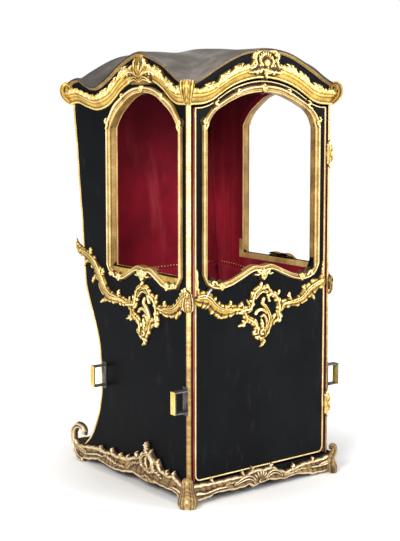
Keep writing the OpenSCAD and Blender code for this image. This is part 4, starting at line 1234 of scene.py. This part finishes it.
def side_rails():
    top = [(-12, 92), (31, 90), (63, 98), (80, 112), (100, 104), (119, 102), (164, 114), (187, 134), (221, 148),
           (240, 166), (256, 150), (290, 140), (316, 134), (345, 124), (364, 120), (401, 101), (438, 98), (482, 94),
           (520, 102), (565, 92), (644, 91), (700, 86), (732, 80), (790, 70)]
    low = [(-12, 6), (30, 10), (42, 22), (53, 38), (97, 41), (153, 40), (199, 41), (240, 34), (269, 32), (317, 38),
           (365, 46), (439, 30), (515, 24), (579, 33), (631, 38), (699, 20), (753, 12), (790, 20)]
    for side, face in SIDES_OF_CABIN:
        r = Relief(-14, 838, 2, 200, floor=-1.0)
        r.band(top, low, 20)
        r.stroke([(800, 44), (816, 70), (824, 100), (820, 130), (796, 152), (764, 156), (738, 148), (734, 132)],
                 [15, 16, 16, 15, 14, 13, 11, 7], 25)
        r.boss((741, 131), 11, 24, turns=0.8)
        r.stroke([(752, 14), (782, 20), (806, 40)], [12, 16, 15], 24)
        r.stroke([(716, 52), (752, 58), (788, 62), (808, 84)], [17, 18, 15, 8], 24, "rib")
        r.stroke([(268, 200), (266, 184), (262, 164), (240, 140)], [2, 7, 10, 9], 24, "leaf", 4)
        r.stroke([(232, 176), (240, 158), (250, 140)], [2, 6, 6], 22, "leaf", 3)
        r.stroke([(300, 152), (296, 136), (284, 120)], [2, 6, 7], 22, "leaf", 3)
        r.stroke([(206, 96), (216, 128), (244, 150), (274, 148), (290, 128), (286, 104), (262, 90)],
                 [9, 9, 9, 9, 9, 9, 6], 27)
        r.stroke([(262, 90), (232, 84), (196, 96), (170, 92), (150, 78)], [8, 10, 12, 11, 5], 26, "leaf", 6)
        r.stroke([(292, 120), (312, 104), (340, 98), (366, 84), (386, 66)], [9, 11, 12, 11, 5], 26, "leaf", 6)
        r.stroke([(226, 48), (244, 62), (270, 62), (292, 50)], [8, 11, 11, 8], 24, "leaf", 4)
        r.leaves(([(76, 96), (82, 112), (80, 124)], [(120, 96), (128, 110), (124, 120)],
                  [(176, 118), (188, 134), (188, 146)], [(330, 120), (338, 134), (332, 146)],
                  [(398, 92), (404, 106), (398, 116)], [(514, 92), (522, 106), (520, 116)],
                  [(448, 90), (456, 102), (452, 110)], [(600, 84), (610, 98), (606, 106)]), [8, 7, 1.5], 20)
        r.stroke([(420, 62), (470, 60), (510, 66), (548, 76), (574, 70)], [9, 12, 14, 12, 5], 26, "leaf", 8)
        r.stroke([(574, 66), (620, 66), (670, 56), (720, 46)], [3, 6, 6, 4], 25, "round")
        r.stroke([(-8, 42), (20, 54), (54, 62), (92, 60)], [26, 24, 17, 4], 24, "frond", 5)
        r.stroke([(-8, 30), (20, 34), (44, 50)], [9, 9, 3], 24, "leaf", 3)
        r.cut((249, 120), (11, 17))
        r.piece("side_rail_" + side, lifted(face, 3), "cabin", AGED, ["base_rail_" + side])


def front_rail(name, face, node):
    top = [(-378, 88), (-320, 86), (-266, 84), (-182, 81), (-96, 79), (-70, 88), (-44, 96), (9, 86), (40, 88),
           (62, 82), (91, 64), (127, 54), (164, 59), (211, 68), (267, 70), (325, 74), (378, 84)]
    low = [(-378, 8), (-348, 14), (-307, 18), (-274, 19), (-257, 31), (-199, 30), (-139, 25), (-96, 27), (-78, 32),
           (-52, 18), (-8, 26), (28, 31), (64, 25), (118, 20), (174, 27), (230, 18), (268, 8), (325, 6), (378, 6)]
    r = Relief(-380, 380, 2, 128, floor=-1.0)
    r.band(top, low, 19)
    r.stroke([(-150, 52), (-116, 62), (-84, 66), (-58, 56), (-48, 38)], [8, 12, 14, 12, 6], 25)
    r.stroke([(96, 44), (74, 60), (48, 66), (24, 58), (14, 40)], [7, 11, 13, 12, 6], 25)
    r.shell((-18, 34), 52, 27, 22, 158, 7)
    r.boss((-18, 38), 11, 27, turns=1)
    r.stroke([(-200, 56), (-176, 62), (-146, 60)], [6, 9, 4], 23, "leaf", 3)
    for k in (-1, 1):
        r.stroke([(376 * k, 40), (350 * k, 50), (322 * k, 50), (290 * k, 42)], [26, 24, 17, 4], 23, "frond", 5)
    r.stroke([(110, 40), (150, 42), (196, 48), (240, 46)], [8, 9, 9, 4], 23, "leaf", 6)
    r.stroke([(-352, 50), (-300, 46), (-240, 52), (-190, 50)], [5, 5, 5, 3], 24, "round")
    r.stroke([(352, 44), (310, 42), (262, 44)], [5, 5, 3], 24, "round")
    r.leaves(([(-60, 84), (-54, 96), (-60, 106)], [(36, 80), (44, 92), (50, 98)],
              [(-100, 76), (-106, 86), (-104, 94)], [(160, 58), (168, 68), (164, 76)],
              [(268, 66), (276, 76), (274, 84)], [(-258, 80), (-264, 88), (-260, 96)]), [7, 6, 1.5], 18)
    r.piece(name, lifted(face, 3), "cabin", AGED, [node])


side_rails()
front_rail("front_rail", on_front, "base_rail_front")
front_rail("back_rail", on_back_foot, "base_rail_back")


# ---- Pole brackets, hinges -----------------------------------------------------------------------

def bevel_copy(node, name, body, mats, width=2.5, pick=None):
    """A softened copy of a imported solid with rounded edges; pick gives a face's material number."""
    src = frame["nodes"][node]
    me = src.data.copy()
    me.name = name
    bm = bmesh.new()
    bm.from_mesh(me)
    bmesh.ops.remove_doubles(bm, verts=bm.verts, dist=1e-5)
    bmesh.ops.dissolve_limit(bm, angle_limit=math.radians(1.0), verts=bm.verts, edges=bm.edges)
    sharp = [e for e in bm.edges if len(e.link_faces) == 2 and e.calc_face_angle(0) > math.radians(30)]
    bmesh.ops.bevel(bm, geom=sharp, offset=width * MM, segments=3, affect="EDGES", profile=0.6, clamp_overlap=True)
    bm.normal_update()
    for f in bm.faces:
        f.material_index = pick(f) if pick else 0
    me.materials.clear()
    bm.to_mesh(me)
    bm.free()
    me.shade_smooth()
    a = me.attributes.new("carve", "FLOAT", "POINT")
    a.data.foreach_set("value", np.full(len(me.vertices), 0.70, np.float32))
    obj = bpy.data.objects.new(name, me)
    return finish_piece(obj, body, [node], mats)


def hinge_plates():
    """Rocaille straps over the hinges, on the post beside the door."""
    for k, z in enumerate((300, 1354)):
        r = Relief(350, 384, z - 62, z + 62, step=1.5, floor=-8.0)
        r.stroke([(362, z - 34), (360, z), (362, z + 34)], [6, 9, 6], 9, "rib")
        for q in (-1, 1):
            r.stroke([(360, z + q * 20), (370, z + q * 28), (374, z + q * 18), (368, z + q * 12)], [6, 6, 5, 4], 10)
            r.stroke([(361, z + q * 30), (358, z + q * 44), (364, z + q * 58)], [8, 7, 1.5], 9, "leaf", 3)
            r.stroke([(364, z + q * 6), (374, z + q * 8)], [5, 4], 10, "round")
        r.boss((364, z), 9, 12, petals=5)
        r.gilded("hinge_rocaille_%d" % k, lifted(on_front, 3), step_blur=4)


hinge_plates()


# ---- Linings and upholstery ----------------------------------------------------------------------


def ring_points(inner, outer, rows, face, depth):
    """Points between two matched loops, from the inner one outwards, at a depth behind the face."""
    u = np.linspace(0, 1, rows)
    loop = between(inner, outer, u)
    wave = 0.9 * np.sin(loop[..., 0] / 47 + 1.7 * np.sin(loop[..., 1] / 90)) * np.sin(loop[..., 1] / 61)
    return face(loop[..., 0], loop[..., 1], -depth + 0.5 * wave * np.sin(math.pi * u[None]))


def half_outline(counts, top, edge, low):
    """One half of a wall's outline, from the middle of its top to the middle of its foot."""
    n_top, n_side, n_low = counts
    x = np.linspace(0, edge, n_top)
    up = np.stack([x, top(x)], -1)
    zs = np.linspace(up[-1, 1], low(edge), n_side)[1:]
    x = np.linspace(edge, 0, n_low)[1:]
    return np.concatenate([up, np.stack([np.full(len(zs), edge), zs], -1), np.stack([x, low(x)], -1)])


def matched_outline(counts, top, side_x, low):
    """A wall's outline with as many points as window_loop gives: top(x), a straight side and a foot."""
    other_half = half_outline(counts, top, side_x[0], low)[-2:0:-1]
    return np.concatenate([half_outline(counts, top, side_x[1], low), other_half])


def lining(name, pts, node, flat, flip=False, body="cabin", mat=None, **wraps):
    """Velvet stretched over a wall; flat, a (width, length) in metres, is not used."""
    obj = grid_piece(name, pts, flip, **wraps)
    finish_piece(obj, body, [node] if node else [], [mat or VELVET])


LOOP_COUNTS = (60, 40, 60)
LOOP_ROWS = 36


def side_linings():
    def side_top(x):
        return curve(SIDE_TOP, x + SIDE_MID) - 36

    def foot(x):
        return LINING_FOOT + 0 * x

    inner = window_loop(SIDE_ARCH, [(a, SILL_Z) for a, _ in SIDE_WAVE], (238, 238), *LOOP_COUNTS)
    outer = matched_outline(LOOP_COUNTS, side_top, (55 - SIDE_MID, 770 - SIDE_MID), foot)
    outer[:, 0] = np.minimum(outer[:, 0], back_depth(outer[:, 1]) - 32 - SIDE_MID)
    for side, face in SIDES_OF_CABIN:
        pts = ring_points(inner + [SIDE_MID, 0], outer + [SIDE_MID, 0], LOOP_ROWS, face, WALL + 5.5)
        pts[..., 1] = np.minimum(pts[..., 1], FRONT + back_depth(pts[..., 2]) - 33)
        lining("lining_cloth_" + side, pts, "lining_" + side, (0.80, 1.72), not flips(face), wrap_u=True)


def back_lining():
    full = 1670
    x, z = np.meshgrid(np.linspace(-LINING_X, LINING_X, 60), np.linspace(LINING_FOOT, full, 130), indexing="ij")
    top = front_low(np.minimum(np.abs(x), HALF_W)) - 20
    z = LINING_FOOT + (z - LINING_FOOT) * (top - LINING_FOOT) / (full - LINING_FOOT)
    pts = on_back(x, z, -29.5 + 0.5 * np.sin(x / 53) * np.sin(z / 71))
    lining("lining_cloth_back", pts, "lining_back", (0.70, 1.78))


def ceiling_lining():
    x, d = np.meshgrid(np.linspace(-336, 336, 60), np.linspace(31, 798, 60), indexing="ij")
    z = roof_z(x, d) - 25 + 0.8 * np.sin(x / 40) * np.sin(d / 55)
    lining("lining_cloth_ceiling", np.stack([x, FRONT + d, z], -1), "lining_ceiling", (0.80, 0.86), True)


def door_lining():
    wave = [(a, b + 6) for a, b in DOOR_WAVE]
    inner = window_loop([(a, b + 3) for a, b in DOOR_ARCH], wave, (284, 286), *LOOP_COUNTS)
    outer = matched_outline(LOOP_COUNTS, lambda q: front_low(np.minimum(np.abs(q), DOOR_HALF)) - 21, (-338, 338),
                            lambda q: 95 + 0 * q)
    pts = ring_points(inner, outer, LOOP_ROWS, on_front, 26.5)
    lining("door_lining_cloth", pts, "door_lining", (0.70, 1.60), body="door", wrap_u=True)


side_linings()
back_lining()
ceiling_lining()
door_lining()


def make_door_edge():
    """Velvet turned over the door's upright edges, which fills the cracks beside them."""
    z = np.linspace(92, 1544, 200)
    x, back = np.array([(340.0, 0.4), (341.5, 2.0), (343.6, 2.6), (345.2, 1.4), (345.6, -1.5), (344.4, -4),
                        (344.2, -12), (344.2, -24), (342, -26.2)]).T
    wave = 0.35 * np.sin(z / 9.0)[:, None] + 0.3 * np.sin(z / 23.0)[:, None]
    for side, sign in (("latch", -1), ("hinge", 1)):
        pts = upright(sign * x, wave - back[None], z)
        lining("door_edge_cloth_" + side, pts, None, (0.04, 1.46), sign > 0, "door", WELT)


make_door_edge()


def stuffed(name, base, node, cap, pressure, voxel, frames, finer=0):
    """Swell a closed mesh as cloth under pressure, held to within cap millimetres of where it was."""
    obj = bpy.data.objects.new(name, base)
    finish_piece(obj, "cabin", [node], [PILE])
    bpy.context.view_layer.objects.active = obj
    rm = obj.modifiers.new("remesh", "REMESH")
    rm.mode, rm.voxel_size = "VOXEL", voxel * MM
    apply_modifiers(obj)
    start = coords(obj)
    cl = obj.modifiers.new("cloth", "CLOTH")
    cl.settings.use_pressure = True
    cl.settings.uniform_pressure_force = pressure
    cl.settings.effector_weights.gravity = 0
    cl.settings.quality = 5
    cl.settings.tension_stiffness = cl.settings.compression_stiffness = 12
    cl.collision_settings.use_collision = False
    scene = bpy.context.scene
    for f in range(1, frames + 1):
        scene.frame_set(f)
    apply_modifiers(obj)
    scene.frame_set(1)
    move = coords(obj) - start
    far = np.linalg.norm(move, axis=1)
    move *= np.minimum(1, cap * MM / np.maximum(far, 1e-9))[:, None]
    put_coords(obj, start + move)
    sub = obj.modifiers.new("smooth", "SUBSURF")
    sub.levels = sub.render_levels = finer
    apply_modifiers(obj)
    obj.data.shade_smooth()
    return obj


def coords(obj):
    a = np.empty(len(obj.data.vertices) * 3, np.float32)
    obj.data.vertices.foreach_get("co", a)
    return a.reshape(-1, 3)


def put_coords(obj, values):
    obj.data.vertices.foreach_set("co", np.ascontiguousarray(values, np.float32).ravel())
    obj.data.update()


def apply_modifiers(obj):
    deps = bpy.context.evaluated_depsgraph_get()
    deps.update()
    me = bpy.data.meshes.new_from_object(obj.evaluated_get(deps))
    old = obj.data
    obj.modifiers.clear()
    obj.data = me
    me.name = obj.name
    bpy.data.meshes.remove(old)


def pillow_mesh(name, u_line, v_line, place, thick, soft=5.0, back=0.0):
    """A closed pad over u, v: crowned in front by thick(u, v), and flat behind by back."""
    u, v = np.meshgrid(u_line, v_line, indexing="ij")
    edge = np.minimum.reduce([u, 1 - u, v, 1 - v])
    round_off = np.sqrt(np.clip(1 - (1 - np.clip(edge * soft, 0, 1)) ** 2, 0, 1))
    top = place(u, v, thick(u, v) * round_off)
    low = place(u, v, back * round_off)
    return closed_layers(name, top, low).data


def seat_cushion():
    lo, hi = (np.array(c) * 1000 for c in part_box("seat_cushion"))
    size, margin = hi - lo, 8

    def on_seat(u, v, h):
        x = lo[0] + margin + (size[0] - 2 * margin) * u
        y = lo[1] + margin + (size[1] - 2 * margin) * v
        return np.stack([x, y, lo[2] + margin + h], -1)

    def crown(u, v):
        return 30 + 14 * np.sin(math.pi * u) ** 0.5 * np.sin(math.pi * v) ** 0.5

    line = np.linspace(0, 1, 70)
    base = pillow_mesh("seat_cushion_soft", line, line, on_seat, crown, 9, -4)
    cushion = stuffed("seat_cushion_soft", base, "seat_cushion", 12, 4, 8, 20, finer=1)
    c = coords(cushion)
    c[:, 2] = np.maximum(c[:, 2], (lo[2] + 0.2) * MM)
    put_coords(cushion, c)


def channels(count):
    """Thickness of a pad with upright sewn channels."""
    return lambda u, v: 11 + 1.5 * np.cos(2 * math.pi * count * u)


def arm_pads():
    front, back = 364, 700
    line = np.linspace(0, 1, 80)
    for side, sign in (("left", -1), ("right", 1)):
        def on_wall(u, v, h, sign=sign):
            top = curve(ARM_TOP, front + (back - front) * u) - 3
            z = PAD_FOOT + (top - PAD_FOOT) * v
            d = front + (np.minimum(back, back_depth(z) - 54) - front) * u
            return np.stack([sign * (336.0 - h), FRONT + d, z], -1)

        base = pillow_mesh("arm_pad_soft_" + side, line, line, on_wall, channels(3), 11, 0.5)
        if sign > 0:
            base.flip_normals()
        stuffed("arm_pad_soft_" + side, base, "arm_pad_" + side, 3, 3, 5, 16)


def back_pad():
    def on_rear(u, v, h):
        z = PAD_FOOT + (825 - PAD_FOOT) * v
        slope = back_slope(z)
        n = np.sqrt(1 + slope**2)
        return np.stack([-334 + 668 * u, FRONT + back_depth(z) - 32 - h / n, z + h * slope / n], -1)

    base = pillow_mesh("back_pad_soft", np.linspace(0, 1, 100), np.linspace(0, 1, 70), on_rear, channels(4), 11, 0.5)
    stuffed("back_pad_soft", base, "back_pad", 3, 3, 6, 16)


def seat_skirt():
    u, v = np.meshgrid(np.linspace(0, 1, 80), np.linspace(0, 1, 36), indexing="ij")
    lo, hi = (np.array(c) * 1000 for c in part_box("seat_riser"))
    x = lo[0] + (hi[0] - lo[0]) * u
    z = lo[2] + (hi[2] - lo[2]) * v
    y = lo[1] + 1.5 - 1.2 * np.sin(x / 21) * np.sin(math.pi * v) ** 0.5
    lining("seat_skirt", np.stack([x, y, z], -1), "seat_riser", (0.70, 0.32))


seat_cushion()
arm_pads()
back_pad()
seat_skirt()


def dots(name, places, r, body, mat):
    """Small domed nail heads, one at each (point, normal)."""
    ring, rise = 10, 4
    verts, quads = [], []
    for p, n in places:
        n = np.asarray(n, float) / np.linalg.norm(n)
        a = np.cross(n, [0, 0, 1.0]) if abs(n[2]) < 0.9 else np.cross(n, [1.0, 0, 0])
        a /= np.linalg.norm(a)
        b = np.cross(n, a)
        base = len(verts)
        for i in range(rise + 1):
            e = math.pi / 2 * i / rise
            rr, hh = r * math.cos(e) + 0.02, r * 0.6 * math.sin(e)
            for k in range(ring):
                t = 2 * math.pi * k / ring
                verts.append(np.asarray(p) + a * rr * math.cos(t) + b * rr * math.sin(t) + n * hh)
        for i in range(rise):
            for k in range(ring):
                k1 = (k + 1) % ring
                quads.append([base + i * ring + k, base + i * ring + k1, base + (i + 1) * ring + k1,
                              base + (i + 1) * ring + k])
    obj = mesh_from(name, np.array(verts), np.array(quads))
    return finish_piece(obj, body, [], [mat])


def make_nails():
    """Rows of brass nails along the top of the arm pads and the back pad."""
    pitch, radius = 17.0, 4.0
    for side, sign in (("left", -1), ("right", 1)):
        rows = [((sign * 337.4, FRONT + d, float(curve(ARM_TOP, d)) + 4), (-sign, 0, 0))
                for d in np.arange(372, 690, pitch)]
        dots("lining_nails_" + side, rows, radius, "cabin", BRASS)
    z = 832
    y = FRONT + float(back_depth(z)) - 30.5
    rows = [((x, y, z), (0, -1, 0)) for x in np.arange(-320, 321, pitch)]
    dots("lining_nails_back", rows, radius, "cabin", BRASS)


make_nails()

for node in ("pole_bracket_front_left", "pole_bracket_front_right", "pole_bracket_back_left",
             "pole_bracket_back_right"):
    bevel_copy(node, node + "_worn", "cabin", [IRON, GILT], 2.5,
               lambda f: int(abs(f.normal.x) > 0.7 and abs(f.calc_center_median().x) > 0.41))
for side in ("left", "right"):
    bevel_copy("inner_frame_" + side, "inner_frame_%s_worn" % side, "cabin", [STRIPPED, COVERED], 2.0,
               lambda f: int(abs(f.normal.x) > 0.8))
bevel_copy("door_handle", "door_lever", "door", [STEEL], 1.5)


# ---- Floor, light and camera ---------------------------------------------------------------------

def make_stage():
    me = bpy.data.meshes.new("studio_floor")
    half = 40.0
    me.from_pydata([(-half, -half, 0), (half, -half, 0), (half, half, 0), (-half, half, 0)], [], [(0, 1, 2, 3)])
    obj = bpy.data.objects.new("studio_floor", me)
    bpy.context.scene.collection.objects.link(obj)
    m = Shader("studio_floor", Roughness=0.9, Specular_IOR_Level=0.1, Base_Color=(0.80, 0.80, 0.80, 1),
               Emission_Color=(1, 1, 1, 1))
    # The floor glows evenly far off, like the backdrop; the glow fades to nothing between 1.25 and 0.42 m from the
    # middle, which paints a darker pool of shade round the chair.
    far = m.add("VectorMath", {0: m.coords}, operation="LENGTH").outputs["Value"]
    m.to("Emission Strength", m.spread(far, 0.42, 1.25, 0.0, 0.64))
    me.materials.append(m.mat)
    world = bpy.data.worlds.new("studio")
    bpy.context.scene.world = world
    world.use_nodes = True
    tree = world.node_tree
    back = tree.nodes["Background"]
    back.inputs[0].default_value = (1.0, 1.0, 1.0, 1)
    seen = tree.nodes.new("ShaderNodeLightPath").outputs["Is Camera Ray"]
    level = tree.nodes.new("ShaderNodeMapRange")
    level.inputs["To Min"].default_value = 0.5
    level.inputs["To Max"].default_value = 1.0
    tree.links.new(seen, level.inputs["Value"])
    tree.links.new(level.outputs[0], back.inputs[1])
    bpy.context.scene.view_settings.view_transform = "Standard"


def area_light(name, place, target, size, power, colour=(1, 1, 1)):
    data = bpy.data.lights.new(name, "AREA")
    data.shape, data.size, data.size_y = "RECTANGLE", size[0], size[1]
    data.energy, data.color = power, colour
    obj = bpy.data.objects.new(name, data)
    obj.location = place
    obj.rotation_euler = (Vector(target) - Vector(place)).to_track_quat("-Z", "Y").to_euler()
    bpy.context.scene.collection.objects.link(obj)


def make_camera():
    """The photograph's view: pitch and yaw in radians, and the focal length over the image's height."""
    pitch, yaw = 0.0996, 0.6551
    focal = 1196.9 / 541
    data = bpy.data.cameras.new("camera")
    data.sensor_fit = "AUTO"
    data.sensor_width = 36.0
    data.lens = focal * 36.0
    data.shift_y = -0.0933
    data.clip_end = 100
    obj = bpy.data.objects.new("camera", data)
    obj.location = (-3.0887, -4.0298, 1.5736)
    obj.rotation_euler = (math.pi / 2 - pitch, 0, -yaw)
    bpy.context.scene.collection.objects.link(obj)
    bpy.context.scene.camera = obj


make_stage()
area_light("key_light", (-4.2, -2.6, 3.4), (0, 0, 0.9), (1.8, 1.8), 275, (1, 0.98, 0.95))
area_light("fill_light", (2.6, -4.4, 2.6), (0, 0, 0.8), (2.0, 2.0), 125)
area_light("top_light", (0, 0.4, 4.6), (0, 0, 1.0), (3, 3), 60)
make_camera()
